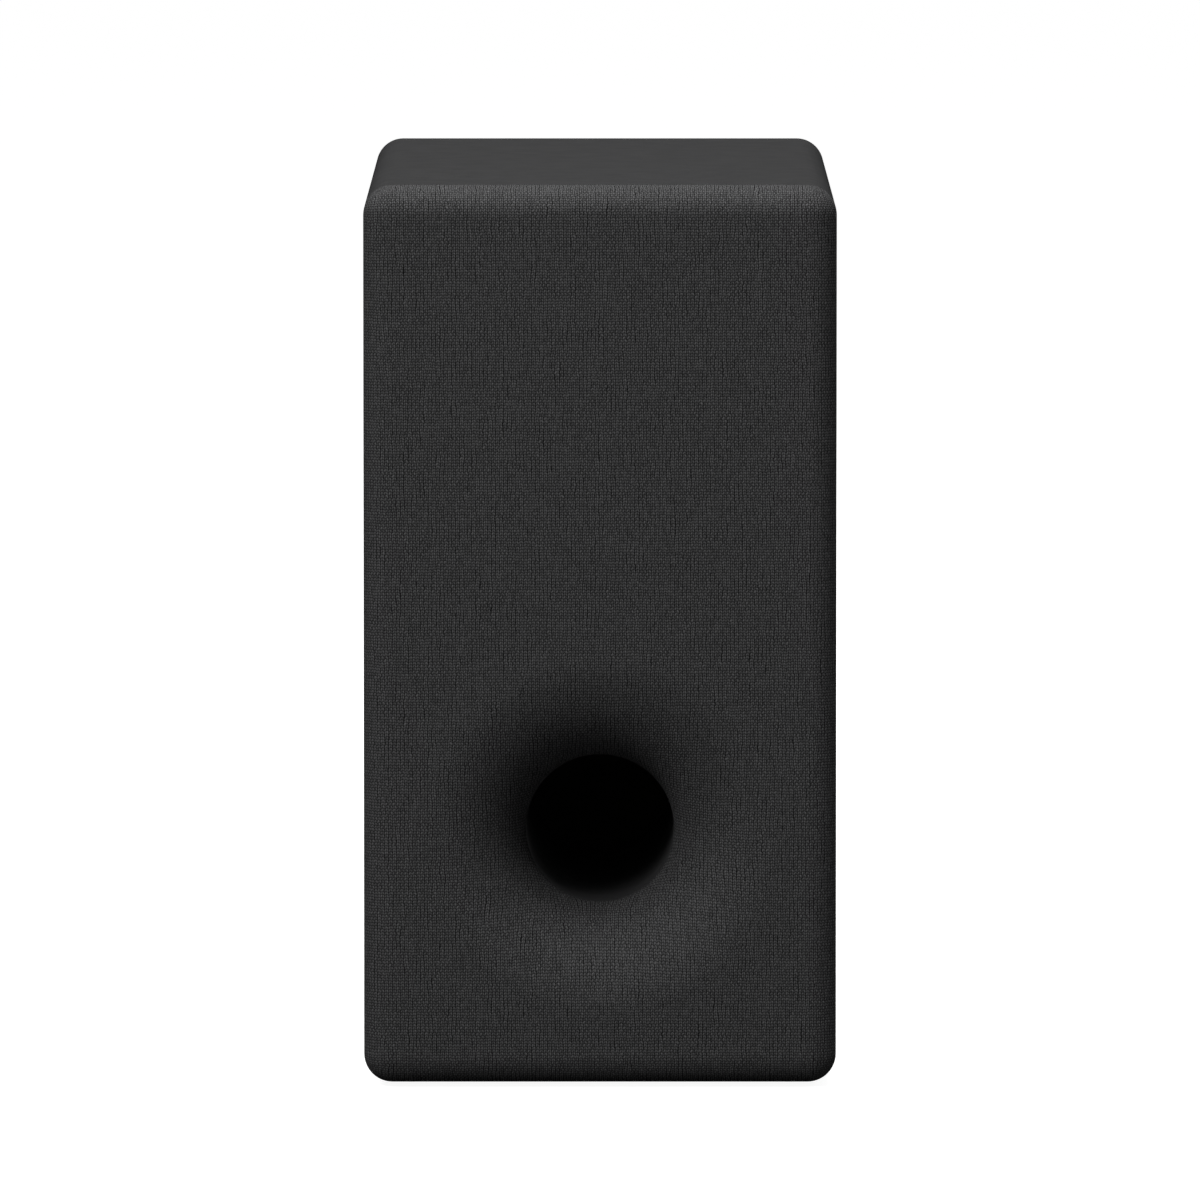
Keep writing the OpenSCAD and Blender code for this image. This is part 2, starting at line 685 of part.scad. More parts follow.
// A speaker lead beside the middle line: apart in x at the board, then apart in z at the driver's tags
module speaker_lead(shift) {
    route = [for (i = [0:len(lead_route) - 1]) let (u = max(0, min(1, (i - 5) / 5)))
        lead_route[i] + shift * [lead_step * (1 - u), 0, tag_step * u]];
    lead(route, lead_rings, lead_r);
}
module speaker_lead_red() color([0.6, 0.05, 0.05]) speaker_lead(1);
module speaker_lead_black() color([0.05, 0.05, 0.05]) speaker_lead(-1);

// ---- Amplifier ----

// The inlet's rounded opening, grown all round
module inlet_bar(grow, y0, y1) {
    r = recess_h / 2 + grow;
    half = (recess_w - recess_h) / 2;
    block(0, inlet_z, 2 * half, 2 * r, y0, y1);
    for (s = [-1, 1]) rod(s * half, inlet_z, r, y0, y1);
}

module amp_panel() color([0.1, 0.1, 0.105]) {
    difference() {
        block(0, amp_z, amp_w, amp_h, amp_in, amp_face);
        amp_screw_places() rod(0, 0, amp_screw_r + screw_gap, amp_in - 1, amp_face + 1);
        for (s = [-1, 1]) rod(s * button_x, button_z, button_r + 2 * fit, amp_in - 1, amp_face + 1);
        rod(0, button_z, led_r + fit, amp_in - 1, amp_face + 1);
        inlet_bar(inlet_collar + fit, amp_in - 1, amp_face + 1);
    }
    for (sx = [-1, 1], z = post_zs) difference() {
        rod(sx * post_x, z, post_r, main_y, amp_in);
        rod(sx * post_x, z, m3_r + fit, main_y - 1, main_y + main_screw[1] + 1);
    }
    for (s = [-1, 1]) difference() {
        rod(s * ctrl_post_x, button_z, ctrl_post_r, ctrl_y, amp_in);
        rod(s * ctrl_post_x, button_z, m3_r + fit, ctrl_y - 1, ctrl_y + ctrl_screw[1]);
    }
}

module amp_gasket() color([0.04, 0.04, 0.04]) difference() {
    block(0, amp_z, amp_w, amp_h, board_y, amp_in);
    block(0, amp_z, hole_w, hole_h, board_y - 1, amp_in + 1);
    amp_screw_places() rod(0, 0, amp_screw_r + screw_gap, board_y - 1, amp_in + 1);
}

module amp_screws() color([0.12, 0.12, 0.12]) amp_screw_places() screw(0, 0, amp_face, -1, amp_screw);

module amp_housing() color([0.13, 0.13, 0.14]) difference() {
    bare = 2 * housing_wall;
    block(0, amp_z, housing_w, housing_h, housing_y, amp_in);
    block(0, amp_z, housing_w - bare, housing_h - bare, housing_y + housing_wall, amp_in + 1);
    rod(block_x, block_z, grommet_r, housing_y - 1, housing_y + housing_wall + 1);
}

module main_board() color([0.05, 0.3, 0.12]) {
    difference() {
        block(0, main_z, main_w, main_h, main_back, main_y);
        for (sx = [-1, 1], z = post_zs) rod(sx * post_x, z, m3_r + m3_gap, main_back - 1, main_y + 1);
    }
    block(block_x, block_z, block_w, block_h, main_back - block_l, main_back);
}

module heatsink() color([0.6, 0.6, 0.62]) {
    fin_y = main_back - sink_base_t;
    first_x = sink_x - (sink_w - fin_t) / 2;
    block(sink_x, sink_z, sink_w, sink_h, fin_y, main_back);
    for (i = [0:fin_count - 1])
        block(first_x + i * fin_pitch, sink_z, fin_t, sink_h, main_back - sink_l, fin_y);
}

// A ferrite core that stands clear of the board, and the winding round it
module power_transformer() color([0.75, 0.65, 0.25]) {
    block(trafo_x, trafo_z, core_w, core_h, main_back - core_l, main_back - core_foot);
    difference() {
        block(trafo_x, trafo_z, winding_w, winding_h, main_back - winding_l, main_back);
        block(trafo_x, trafo_z, core_w + 1, core_h, main_back - core_l, main_back - core_foot);
    }
}

module bulk_capacitors() color([0.08, 0.08, 0.1])
    for (i = [0:can_count - 1]) rod(block_x + can_pitch * i, can_z, can_r, main_back - can_l, main_back);

module output_inductors() color([0.65, 0.35, 0.15]) for (z = coil_zs) difference() {
    rod(coil_x, z, coil_out_r, main_back - coil_l, main_back);
    rod(coil_x, z, coil_bore_r, main_back - coil_l - 1, main_back + 1);
}

module board_screws() color([0.7, 0.7, 0.72]) {
    for (sx = [-1, 1], z = post_zs) screw(sx * post_x, z, main_back, 1, main_screw);
    for (s = [-1, 1]) screw(s * ctrl_post_x, button_z, ctrl_y - pcb_t, 1, ctrl_screw);
}

module wireless_module() color([0.7, 0.7, 0.7]) {
    face = main_back - radio_board[2];
    block(radio_x, radio_z, radio_board[0], radio_board[1], face, main_back);
    block(radio_x - 2, radio_z, radio_can[0], radio_can[1], main_back - radio_can[2], face);
}

module control_board() color([0.05, 0.3, 0.12]) {
    difference() {
        block(0, button_z, ctrl_w, ctrl_h, ctrl_y - pcb_t, ctrl_y);
        for (s = [-1, 1]) rod(s * ctrl_post_x, button_z, m3_r + m3_gap, ctrl_y - pcb_t - 1, ctrl_y + 1);
    }
    block(0, main_z + main_h / 2 - 3, header_w, header_d, main_y, ctrl_y - pcb_t);
}

module tact_switches() color([0.1, 0.1, 0.1]) for (s = [-1, 1]) difference() {
    block(s * button_x, button_z, switch_w, switch_w, ctrl_y, ctrl_y + switch_h);
    rod(s * button_x, button_z, plunger_r + fit, ctrl_y + switch_floor, ctrl_y + switch_h + 1);
}

module status_led() color([0.9, 0.9, 0.85])
    block(0, button_z, led_size[0], led_size[1], ctrl_y, ctrl_y + led_h);

module light_pipe() color([0.8, 0.85, 0.9]) {
    rod(0, button_z, led_r, ctrl_y + led_h + part_gap, amp_face + 0.3);
    rod(0, button_z, led_r + 1, amp_in - 2, amp_in);
}

module ac_inlet() color([0.06, 0.06, 0.06]) difference() {
    union() {
        block(0, inlet_z, inlet_w, inlet_h, main_y, amp_in);
        inlet_bar(inlet_collar, amp_in - 1, amp_face);
    }
    inlet_bar(0, amp_face - recess_d, amp_face + 1);
}

module ac_inlet_pins() color([0.75, 0.75, 0.75])
    for (s = [-1, 1])
        rod(s * pin_pitch / 2, inlet_z, inlet_pin_r, amp_face - recess_d, amp_face - inlet_pin_drop);

module cable_grommet() color([0.05, 0.05, 0.05]) difference() {
    inside = housing_y + housing_wall;
    union() {
        rod(block_x, block_z, grommet_r, housing_y - grommet_lip_t, inside + grommet_lip_t);
        rod(block_x, block_z, grommet_r + grommet_lip, housing_y - grommet_lip_t, housing_y);
        rod(block_x, block_z, grommet_r + grommet_lip, inside, inside + grommet_lip_t);
    }
    for (s = [-1, 1])
        rod(block_x + s * lead_step, block_z, lead_r + fit, housing_y - 3, inside + 3);
}

// Push button: a cap in the panel's hole, a lip behind it and a stem down to its switch
module push_button(s) color([0.16, 0.16, 0.17]) {
    rod(s * button_x, button_z, button_r, amp_in - fit - button_lip_t, amp_face + button_out);
    rod(s * button_x, button_z, button_lip_r, amp_in - fit - button_lip_t, amp_in - fit);
    rod(s * button_x, button_z, stem_r, ctrl_y + switch_h + plunger_out, amp_in - button_lip_t);
}
module power_button() push_button(-1);
module link_button() push_button(1);

// The plunger stops short of the switch's floor by its travel
module switch_plunger(s) color([0.8, 0.8, 0.78]) {
    end_y = ctrl_y + switch_floor + button_travel + part_gap;
    rod(s * button_x, button_z, plunger_r, end_y, ctrl_y + switch_h + plunger_out);
}
module power_switch_plunger() switch_plunger(-1);
module link_switch_plunger() switch_plunger(1);

vinyl_wrap();
top_panel();
bottom_panel();
left_panel();
right_panel();
front_baffle();
back_board();
window_brace();
grille_frame();
grille_fabric();
driver_guard();
grille_sockets();
port_duct();
port_seal();
port_screws();
driver_gasket();
driver_basket();
driver_trim_ring();
driver_screws();
top_plate();
magnet();
yoke();
terminal_strip();
spider();
surround();
tinsel_leads();
cone();
dust_cap();
voice_coil_former();
voice_coil();
amp_panel();
amp_gasket();
amp_screws();
amp_housing();
main_board();
heatsink();
power_transformer();
bulk_capacitors();
output_inductors();
board_screws();
wireless_module();
control_board();
tact_switches();
status_led();
light_pipe();
ac_inlet();
ac_inlet_pins();
speaker_lead_red();
speaker_lead_black();
cable_grommet();
power_button();
link_button();
power_switch_plunger();
link_switch_plunger();
foot_front_left();
foot_front_right();
foot_rear_left();
foot_rear_right();
wadding_left();
wadding_right();
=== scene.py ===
"""Looks of a slim bass-reflex subwoofer, built round its mechanical model.

The front faces -Y, +Z is up, and the feet stand on z = 0. Shapes are worked out in millimetres
and handed over in metres. The mechanical model is the fixed frame: the pieces ride on its bodies, save the
surround, the spider and the tinsel leads.
"""
import math
import random

import bmesh
import bpy
from bpy.props import FloatProperty, FloatVectorProperty, IntProperty, PointerProperty
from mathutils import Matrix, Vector, noise
from mathutils.geometry import tessellate_polygon


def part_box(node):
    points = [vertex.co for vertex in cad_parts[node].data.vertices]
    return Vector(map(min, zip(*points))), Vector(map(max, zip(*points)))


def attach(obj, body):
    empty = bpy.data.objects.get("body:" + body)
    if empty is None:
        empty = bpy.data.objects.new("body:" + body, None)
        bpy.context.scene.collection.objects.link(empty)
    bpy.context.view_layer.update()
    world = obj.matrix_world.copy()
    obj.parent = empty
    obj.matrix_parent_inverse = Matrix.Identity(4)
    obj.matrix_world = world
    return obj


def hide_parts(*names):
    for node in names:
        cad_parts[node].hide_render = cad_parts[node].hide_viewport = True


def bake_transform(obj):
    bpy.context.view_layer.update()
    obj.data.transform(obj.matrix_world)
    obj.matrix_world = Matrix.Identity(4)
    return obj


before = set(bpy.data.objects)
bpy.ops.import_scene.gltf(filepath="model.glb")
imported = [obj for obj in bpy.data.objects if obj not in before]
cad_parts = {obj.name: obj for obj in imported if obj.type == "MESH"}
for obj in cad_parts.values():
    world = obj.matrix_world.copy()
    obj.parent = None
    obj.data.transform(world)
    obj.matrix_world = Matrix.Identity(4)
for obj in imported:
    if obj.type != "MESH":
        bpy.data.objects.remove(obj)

bl_info = {
    "name": "Slim Subwoofer",
    "version": (1, 0, 0),
    "blender": (4, 5, 0),
    "location": "3D View > Sidebar > Subwoofer",
    "description": "Builds the cabinet, cloth front, driver, port and amplifier of a slim subwoofer",
    "category": "Add Mesh",
}

MM = 0.001
TINY = 0.01              # millimetres: the least radius of a corner
WELD = 0.5e-6            # metres: points closer than this are one
QUARTER = math.pi / 2
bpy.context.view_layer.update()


# ---- Places, read from the frame in millimetres ----

def corners(node):
    """Lowest and highest corner of a CAD node."""
    low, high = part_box(node)
    return low / MM, high / MM


def middle(node):
    low, high = corners(node)
    return (low + high) / 2


SKIN_LOW, SKIN_HIGH = corners("vinyl_wrap")
DUCT_LOW, DUCT_HIGH = corners("port_duct")
PANEL_LOW, PANEL_HIGH = corners("amp_panel")
BOARD_LOW, BOARD_HIGH = corners("main_board")
CONTROL_LOW, CONTROL_HIGH = corners("control_board")
HOUSING_LOW, HOUSING_HIGH = corners("amp_housing")

BODY_W = SKIN_HIGH.x - SKIN_LOW.x
BODY_H = SKIN_HIGH.z - SKIN_LOW.z
MID_Z = middle("vinyl_wrap").z
FRONT_Y, BACK_Y, FACE_Y = corners("grille_fabric")[0].y, SKIN_HIGH.y, SKIN_LOW.y
PORT_Z = middle("port_duct").z
DRIVER_Z = middle("magnet").z
AMP_Z = middle("amp_gasket").z
LENS_PROUD = 0.3         # the light pipe's end, out from the amplifier's panel
AMP_FACE = corners("light_pipe")[1].y - LENS_PROUD
AMP_BACK = corners("amp_gasket")[1].y
AMP_HEAD = 3.1           # radius of a panel screw's head
BOARD_HEAD = 2.7         # radius of a board screw's head
BOARD_T = 1.6            # thickness of a circuit board
POST_INSET = 7.0         # a post of the main board, in from the board's end
CONTROL_POST = 28.0      # a post of the control board, out from the middle


# ---- Settings ----

def length(name, description, default, low=0.0, high=1.0):
    return FloatProperty(name=name, description=description, default=default, min=low, max=high,
                         unit="LENGTH", precision=5)


def tone(name, description, default):
    return FloatVectorProperty(name=name, description=description, default=default, size=3,
                               min=0.0, max=1.0, subtype="COLOR")


def share(name, description, default):
    return FloatProperty(name=name, description=description, default=default, min=0.0, max=1.0,
                         subtype="FACTOR")


class ClothSettings(bpy.types.PropertyGroup):
    """The knitted front"""
    colour: tone("Colour", "Mean colour of the cloth", (0.0414, 0.0414, 0.042))
    wale: length("Wale", "Width of one column of stitches", 0.00168)
    course: length("Course", "Height of one row of stitches", 0.00122)
    thickness: length("Thickness", "Thickness of the cloth", 0.0008)
    hem: length("Hem", "Cloth turned in behind the grille's edge", 0.006)
    depth: length("Relief", "Height of a stitch", 0.00022)
    sheen: share("Sheen", "Strength of the fuzz at grazing angles", 0.01)


class CabinetSettings(bpy.types.PropertyGroup):
    """The box and the port's outline"""
    edge: length("Edge radius", "Radius of the long edges and of the front edge", 0.012)
    fold: length("Fold radius", "Radius where the skin folds over the back", 0.0014)
    skin: length("Skin", "Thickness of the vinyl skin", 0.0005)
    lining: length("Wall", "Thickness of a wall with its skin", 0.0125)
    seam: length("Seam", "Open line between the cloth front and the box", 0.0005)
    port: length("Port radius", "Inner radius of the port", 0.0315)
    flare: length("Flare radius", "Radius of the quarter-round flare", 0.044)
    skin_colour: tone("Skin colour", "Colour of the vinyl skin", (0.0292, 0.0292, 0.0296))
    wood_colour: tone("Fibreboard colour", "Colour of the bare fibreboard", (0.40, 0.27, 0.16))
    paint_colour: tone("Back colour", "Colour of the painted back board", (0.018, 0.018, 0.0185))


class HardwareSettings(bpy.types.PropertyGroup):
    """Metals, plastics and rubber"""
    plastic: tone("Plastic colour", "Colour of the black mouldings", (0.017, 0.017, 0.018))
    rubber: tone("Rubber colour", "Colour of the rubber parts", (0.013, 0.013, 0.013))
    steel: tone("Steel colour", "Colour of the plated steel", (0.56, 0.55, 0.53))
    black_steel: tone("Black steel colour", "Colour of the black screws", (0.035, 0.035, 0.037))
    copper: tone("Copper colour", "Colour of the enamelled wire", (0.62, 0.24, 0.10))
    board: tone("Board colour", "Colour of the solder mask", (0.012, 0.085, 0.035))
    mark: tone("Mark colour", "Colour of the printed marks", (0.42, 0.42, 0.42))
    thread: length("Thread pitch", "Pitch of the wood screws' thread", 0.0012)
    seed: IntProperty(name="Seed", description="Seed of the screws' random turns", default=4)


class StageSettings(bpy.types.PropertyGroup):
    """Camera, lamps and floor"""
    distance: length("Distance", "Distance of the camera from the front", 6.356, 0.5, 20)
    height: length("Height", "Height of the camera", 0.736, 0, 5)
    tilt: FloatProperty(name="Tilt", description="Angle that the camera looks down", default=0.0829,
                        unit="ROTATION")
    lens: FloatProperty(name="Lens", description="Focal length in millimetres", default=453.2)
    key: FloatProperty(name="Key", description="Power of the lamp at the upper left", default=83.5,
                       unit="POWER")
    top: FloatProperty(name="Top", description="Power of the lamp above", default=62.0, unit="POWER")
    rear: FloatProperty(name="Rear", description="Power of the lamp behind", default=40.0, unit="POWER")
    fill: share("Fill", "Strength of the light from all round", 0.2)


class SubwooferSettings(bpy.types.PropertyGroup):
    """All settings of the subwoofer"""
    cloth: PointerProperty(type=ClothSettings)
    cabinet: PointerProperty(type=CabinetSettings)
    hardware: PointerProperty(type=HardwareSettings)
    stage: PointerProperty(type=StageSettings)


def settings():
    return bpy.context.scene.subwoofer


# ---- Finishes ----

class Finish:
    """A material being made: its shader and the nodes that feed it."""

    def __init__(self, name, colour, roughness, **sockets):
        self.material = bpy.data.materials.new(name)
        self.material.use_nodes = True
        self.tree = self.material.node_tree
        self.shader = self.tree.nodes["Principled BSDF"]
        self.base = tuple(colour)
        self.shader.inputs["Base Color"].default_value = (*colour, 1)
        self.shader.inputs["Roughness"].default_value = roughness
        for socket, value in sockets.items():
            self.shader.inputs[socket.replace("_", " ")].default_value = value
        self.place = self.node("TexCoord").outputs["Object"]

    def feed(self, socket, value):
        if isinstance(value, bpy.types.NodeSocket):
            self.tree.links.new(value, socket)
        else:
            socket.default_value = value

    def node(self, kind, values=None, **choices):
        made = self.tree.nodes.new("ShaderNode" + kind)
        for name, choice in choices.items():
            setattr(made, name, choice)
        for socket, value in (values or {}).items():
            self.feed(made.inputs[socket], value)
        return made

    def math(self, operation, a, b=0.0):
        return self.node("Math", {0: a, 1: b}, operation=operation).outputs[0]

    def scaled(self, factors, place=None):
        return self.node("Mapping", {"Vector": place or self.place, "Scale": factors}).outputs[0]

    def noise(self, size, detail=3.0, stretch=(1, 1, 1), place=None):
        """Cloudy noise whose patches are about size metres across."""
        factors = [s / size for s in stretch]
        return self.node("TexNoise", {"Vector": self.scaled(factors, place), "Scale": 1.0,
                                      "Detail": detail}).outputs[0]

    def cells(self, size, feature="F1", place=None):
        return self.node("TexVoronoi", {"Vector": self.scaled([1 / size] * 3, place), "Scale": 1.0},
                         feature=feature).outputs[0]

    def between(self, factor, low, high):
        """A number that runs from low to high as the factor runs from 0.3 to 0.7, as noise does."""
        return self.node("MapRange", {"Value": factor, "From Min": 0.3, "From Max": 0.7, "To Min": low,
                                      "To Max": high}).outputs[0]

    def mix(self, factor, a, b):
        node = self.node("Mix", data_type="RGBA")
        self.feed(node.inputs[0], factor)
        self.feed(node.inputs[6], a if isinstance(a, bpy.types.NodeSocket) else (*a, 1))
        self.feed(node.inputs[7], b if isinstance(b, bpy.types.NodeSocket) else (*b, 1))
        return node.outputs[2]

    def tinted(self, factor, dark=0.8, light=1.2):
        """The base colour, darker and lighter with the factor."""
        return self.mix(factor, shade(self.base, dark), shade(self.base, light))

    def paint(self, colour):
        self.feed(self.shader.inputs["Base Color"], colour)
        return self

    def gloss(self, factor, low, high):
        self.feed(self.shader.inputs["Roughness"], self.between(factor, low, high))
        return self

    def relief(self, height, depth, strength=1.0):
        bump = self.node("Bump", {"Height": height, "Distance": depth, "Strength": strength})
        self.feed(self.shader.inputs["Normal"], bump.outputs[0])
        return self


def shade(colour, factor):
    return tuple(min(1.0, c * factor) for c in colour)


FINISHES = {}


def finish(maker):
    """Keeps one material per maker and name."""
    def made(name, *args, **options):
        if name not in FINISHES:
            FINISHES[name] = maker(name, *args, **options).material
        return FINISHES[name]
    return made


@finish
def moulded(name, colour, roughness=0.5, grain=0.0006, depth=0.00003):
    """Moulded plastic with a spark-eroded grain and faint flow marks."""
    f = Finish(name, colour, roughness, Specular_IOR_Level=0.4)
    flow = f.noise(0.03, 2)
    f.paint(f.tinted(f.noise(grain * 2, 4), 0.82, 1.18)).gloss(flow, roughness - 0.08, roughness + 0.08)
    return f.relief(f.noise(grain, 4), depth, 0.7)


@finish
def rubbery(name, colour, roughness=0.8, dust=1.5):
    """Rubber or foam with a powdery bloom in patches."""
    f = Finish(name, colour, roughness, Specular_IOR_Level=0.25)
    bloom = f.math("MULTIPLY", f.noise(0.012, 4), f.noise(0.0008, 2))
    f.paint(f.mix(bloom, shade(colour, 0.8), shade(colour, dust * 1.6)))
    f.gloss(f.noise(0.004, 3), roughness - 0.1, roughness + 0.1)
    return f.relief(f.noise(0.0005, 5), 0.00003, 0.6)


@finish
def metallic(name, colour, roughness=0.32, brushed=(1, 1, 1), metal=1.0):
    """Bare or plated metal with drawn or turned marks and a little tarnish."""
    f = Finish(name, colour, roughness, Metallic=metal)
    marks = f.noise(0.0006, 5, brushed)
    stain = f.noise(0.014, 4)
    f.paint(f.mix(stain, shade(colour, 0.9), shade(colour, 1.05)))
    rough = f.math("ADD", f.between(marks, roughness - 0.08, roughness + 0.08), f.between(stain, 0.0, 0.05))
    f.feed(f.shader.inputs["Roughness"], rough)
    return f.relief(marks, 0.000008, 0.6)


@finish
def turned_metal(name, colour, x, z, roughness=0.34):
    """Metal turned on a lathe: fine rings round an axis that runs front to back."""
    f = Finish(name, colour, roughness, Metallic=1.0)
    centred = f.node("Mapping", {"Vector": f.place, "Location": (-x, 0, -z)}).outputs[0]
    flat = f.node("Mapping", {"Vector": centred, "Scale": (1, 0, 1)}).outputs[0]
    radius = f.node("VectorMath", {0: flat}, operation="LENGTH").outputs["Value"]
    rings = f.node("TexNoise", {"W": f.math("MULTIPLY", radius, 2600.0), "Scale": 1.0, "Detail": 3.0},
                   noise_dimensions="1D").outputs[0]
    stain = f.noise(0.018, 4)
    f.paint(f.mix(stain, shade(colour, 0.75), shade(colour, 1.06)))
    return f.gloss(rings, roughness - 0.08, roughness + 0.12).relief(rings, 0.00001, 0.8)


@finish
def powder_coat(name, colour, roughness=0.6, size=0.0009, depth=0.00006):
    """Textured powder coat: small rounded lumps that catch the light, with painted highlight on their middles
    and painted shade between them.
    """
    f = Finish(name, colour, roughness, Specular_IOR_Level=0.4)
    lumps = f.cells(size, "SMOOTH_F1")
    # painted highlight and shade: lighter at each lump's middle, darker between lumps, following the bump
    f.paint(f.tinted(lumps, 1.2, 0.75)).gloss(f.noise(0.02, 3), roughness - 0.08, roughness + 0.08)
    return f.relief(f.math("ADD", lumps, f.noise(size * 1.6, 3)), depth, 0.7)


@finish
def fibreboard(name, colour, roughness=0.85):
    """Pressed wood fibre, darker along the fibres' ends, its front face blacked behind the cloth."""
    f = Finish(name, colour, roughness, Specular_IOR_Level=0.15)
    fibres = f.noise(0.0011, 6, (1.0, 2.6, 1.0))
    cloud = f.noise(0.02, 3)
    speckled = f.mix(f.between(fibres, 0.0, 1.0), shade(colour, 0.62), shade(colour, 1.25))
    bare = f.mix(f.between(cloud, 0.0, 0.35), speckled, shade(colour, 0.8))
    on_front = f.math("LESS_THAN", f.node("SeparateXYZ", {0: f.place}).outputs[1], (FACE_Y + 1.0) * MM)
    f.paint(f.mix(on_front, bare, (0.012, 0.012, 0.0125)))
    return f.relief(fibres, 0.00008, 0.6)


@finish
def painted_board(name, colour, roughness=0.7):
    """Fibreboard under matte paint, with its fibres raised a little and the roller's stipple."""
    f = Finish(name, colour, roughness, Specular_IOR_Level=0.3)
    stipple = f.noise(0.0014, 4)
    f.paint(f.tinted(f.noise(0.03, 4), 0.8, 1.25)).gloss(stipple, roughness - 0.1, roughness + 0.1)
    return f.relief(f.math("ADD", stipple, f.noise(0.0005, 3)), 0.00007, 0.7)


@finish
def vinyl(name, colour, roughness=0.72):
    """Smooth matte vinyl with a very fine grain and slight cloudiness."""
    f = Finish(name, colour, roughness, Specular_IOR_Level=0.0)
    grain = f.cells(0.0007, "DISTANCE_TO_EDGE")
    f.paint(f.mix(f.between(f.noise(0.012, 5), 0.0, 1.0), shade(colour, 0.93), shade(colour, 1.07)))
    f.gloss(f.noise(0.005, 4), roughness - 0.06, roughness + 0.06)
    return f.relief(f.math("ADD", grain, f.noise(0.0012, 4)), 0.00002, 0.6)


@finish
def knitted(name, cloth, flat):
    """Jersey knit: columns of V stitches whose legs stand out by turns from row to row. Its colour is partly
    a real random tone per stitch and partly painted shade between the loops and on sunken legs, with painted
    highlight on raised legs and rib crowns.
    """
    f = Finish(name, cloth.colour, 0.95, Specular_IOR_Level=0.0, Sheen_Weight=cloth.sheen,
               Sheen_Roughness=0.5, Sheen_Tint=(0.55, 0.55, 0.57, 1))
    grid = (flat[0] / cloth.wale, flat[1] / cloth.course, 1)
    stitches = f.scaled(grid, f.node("UVMap", uv_map="Cloth").outputs[0])

    def cloudy(scale, stretch=1.0, detail=2.0, colour=False):
        place = f.scaled((scale, scale * stretch, 1), stitches)
        made = f.node("TexNoise", {"Vector": place, "Scale": 1.0, "Detail": detail})
        return made.outputs["Color" if colour else 0]

    def ramp(value, slope, start):
        """start + slope * value"""
        return f.node("Math", {0: value, 1: slope, 2: start}, operation="MULTIPLY_ADD").outputs[0]

    def hump(value):
        return f.math("SINE", f.math("MULTIPLY", f.math("FRACT", value), math.pi))

    waver = f.node("VectorMath", {0: cloudy(0.45, 0.35, colour=True), 1: (0.5, 0.5, 0.5)},
                   operation="SUBTRACT").outputs[0]
    moved = f.node("VectorMath", {0: waver, 1: (1.15, 0.75, 0.0), 2: stitches},
                   operation="MULTIPLY_ADD").outputs[0]
    parts = f.node("SeparateXYZ", {0: moved})
    across, up = parts.outputs[0], parts.outputs[1]
    legs = f.math("MULTIPLY", across, 2.0)
    lean = f.math("ABSOLUTE", f.math("SUBTRACT", f.math("FRACT", across), 0.5))
    slanted = f.math("ADD", up, f.math("MULTIPLY", lean, 0.9))
    loop = f.math("MULTIPLY", ramp(hump(legs), 0.8, 0.2), ramp(hump(slanted), 0.75, 0.25))
    column = ramp(hump(across), 1.0, -0.64)
    leg, row = f.math("FLOOR", legs), f.math("FLOOR", slanted)
    turn = ramp(f.math("FRACT", f.math("MULTIPLY", f.math("ADD", leg, row), 0.5)), 2.0, -0.5)
    chance = f.node("TexWhiteNoise", {"Vector": f.node("CombineXYZ", {0: leg, 1: row}).outputs[0]},
                    noise_dimensions="3D").outputs[0]
    relief = f.math("MULTIPLY", f.between(cloudy(0.16, 0.7), 0.35, 1.25), turn)
    ribs = f.math("MULTIPLY", f.between(cloudy(0.3, 0.3), -0.2, 1.5), column)
    uneven = f.math("ADD", ramp(relief, 0.5, 1.0), f.math("MULTIPLY", ribs, 0.85))
    # painted shade and highlight: the colour follows the stitch relief, black between the loops and lighter
    # on raised legs and ribs, times a real random tone per stitch
    light = f.math("MULTIPLY", loop, f.math("MULTIPLY", uneven, ramp(chance, 0.5, 0.75)))
    f.paint(f.mix(light, shade(cloth.colour, 0.0), shade(cloth.colour, 2.1)))
    height = f.math("MULTIPLY", loop, uneven)
    return f.relief(height, cloth.depth, 0.75)


@finish
def ceramic(name, colour):
    """Ground ferrite: dark, speckled, with grinding marks."""
    f = Finish(name, colour, 0.42, Specular_IOR_Level=0.5)
    f.paint(f.mix(f.between(f.noise(0.0009, 5), 0.0, 1.0), shade(colour, 0.6), shade(colour, 1.7)))
    return f.gloss(f.noise(0.006, 4), 0.34, 0.6).relief(f.noise(0.0012, 5, (1, 8, 1)), 0.00003, 0.5)


@finish
def papery(name, colour, x, z):
    """Pressed paper pulp: matted fibres and faint rings from the mould."""
    f = Finish(name, colour, 0.86, Specular_IOR_Level=0.2)
    pulp = f.noise(0.0011, 6)
    flat = f.node("Mapping", {"Vector": f.place, "Location": (-x, 0, -z)}).outputs[0]
    rings = f.node("TexWave", {"Vector": flat, "Scale": 160.0, "Distortion": 1.5}, wave_type="RINGS",
                   rings_direction="Y").outputs["Fac"]
    f.paint(f.mix(f.between(pulp, 0.0, 1.0), shade(colour, 0.6), shade(colour, 1.9)))
    return f.relief(f.math("ADD", pulp, f.math("MULTIPLY", rings, 0.25)), 0.0001, 0.7)


@finish
def woven(name, colour, pitch=0.0009, resin=0.55):
    """Open plain weave stiffened with resin."""
    f = Finish(name, colour, resin, Specular_IOR_Level=0.4)
    parts = f.node("SeparateXYZ", {0: f.scaled([math.pi / pitch] * 3)})
    warp = f.math("ABSOLUTE", f.math("SINE", parts.outputs[0]))
    weft = f.math("ABSOLUTE", f.math("SINE", parts.outputs[2]))
    cloth = f.math("MULTIPLY", warp, weft)
    # painted shade and highlight: darker along the gaps between threads, lighter where they cross, following
    # the bump
    f.paint(f.mix(cloth, shade(colour, 0.35), shade(colour, 1.25)))
    return f.gloss(f.noise(0.004, 3), resin - 0.1, resin + 0.15).relief(cloth, 0.0001, 0.8)


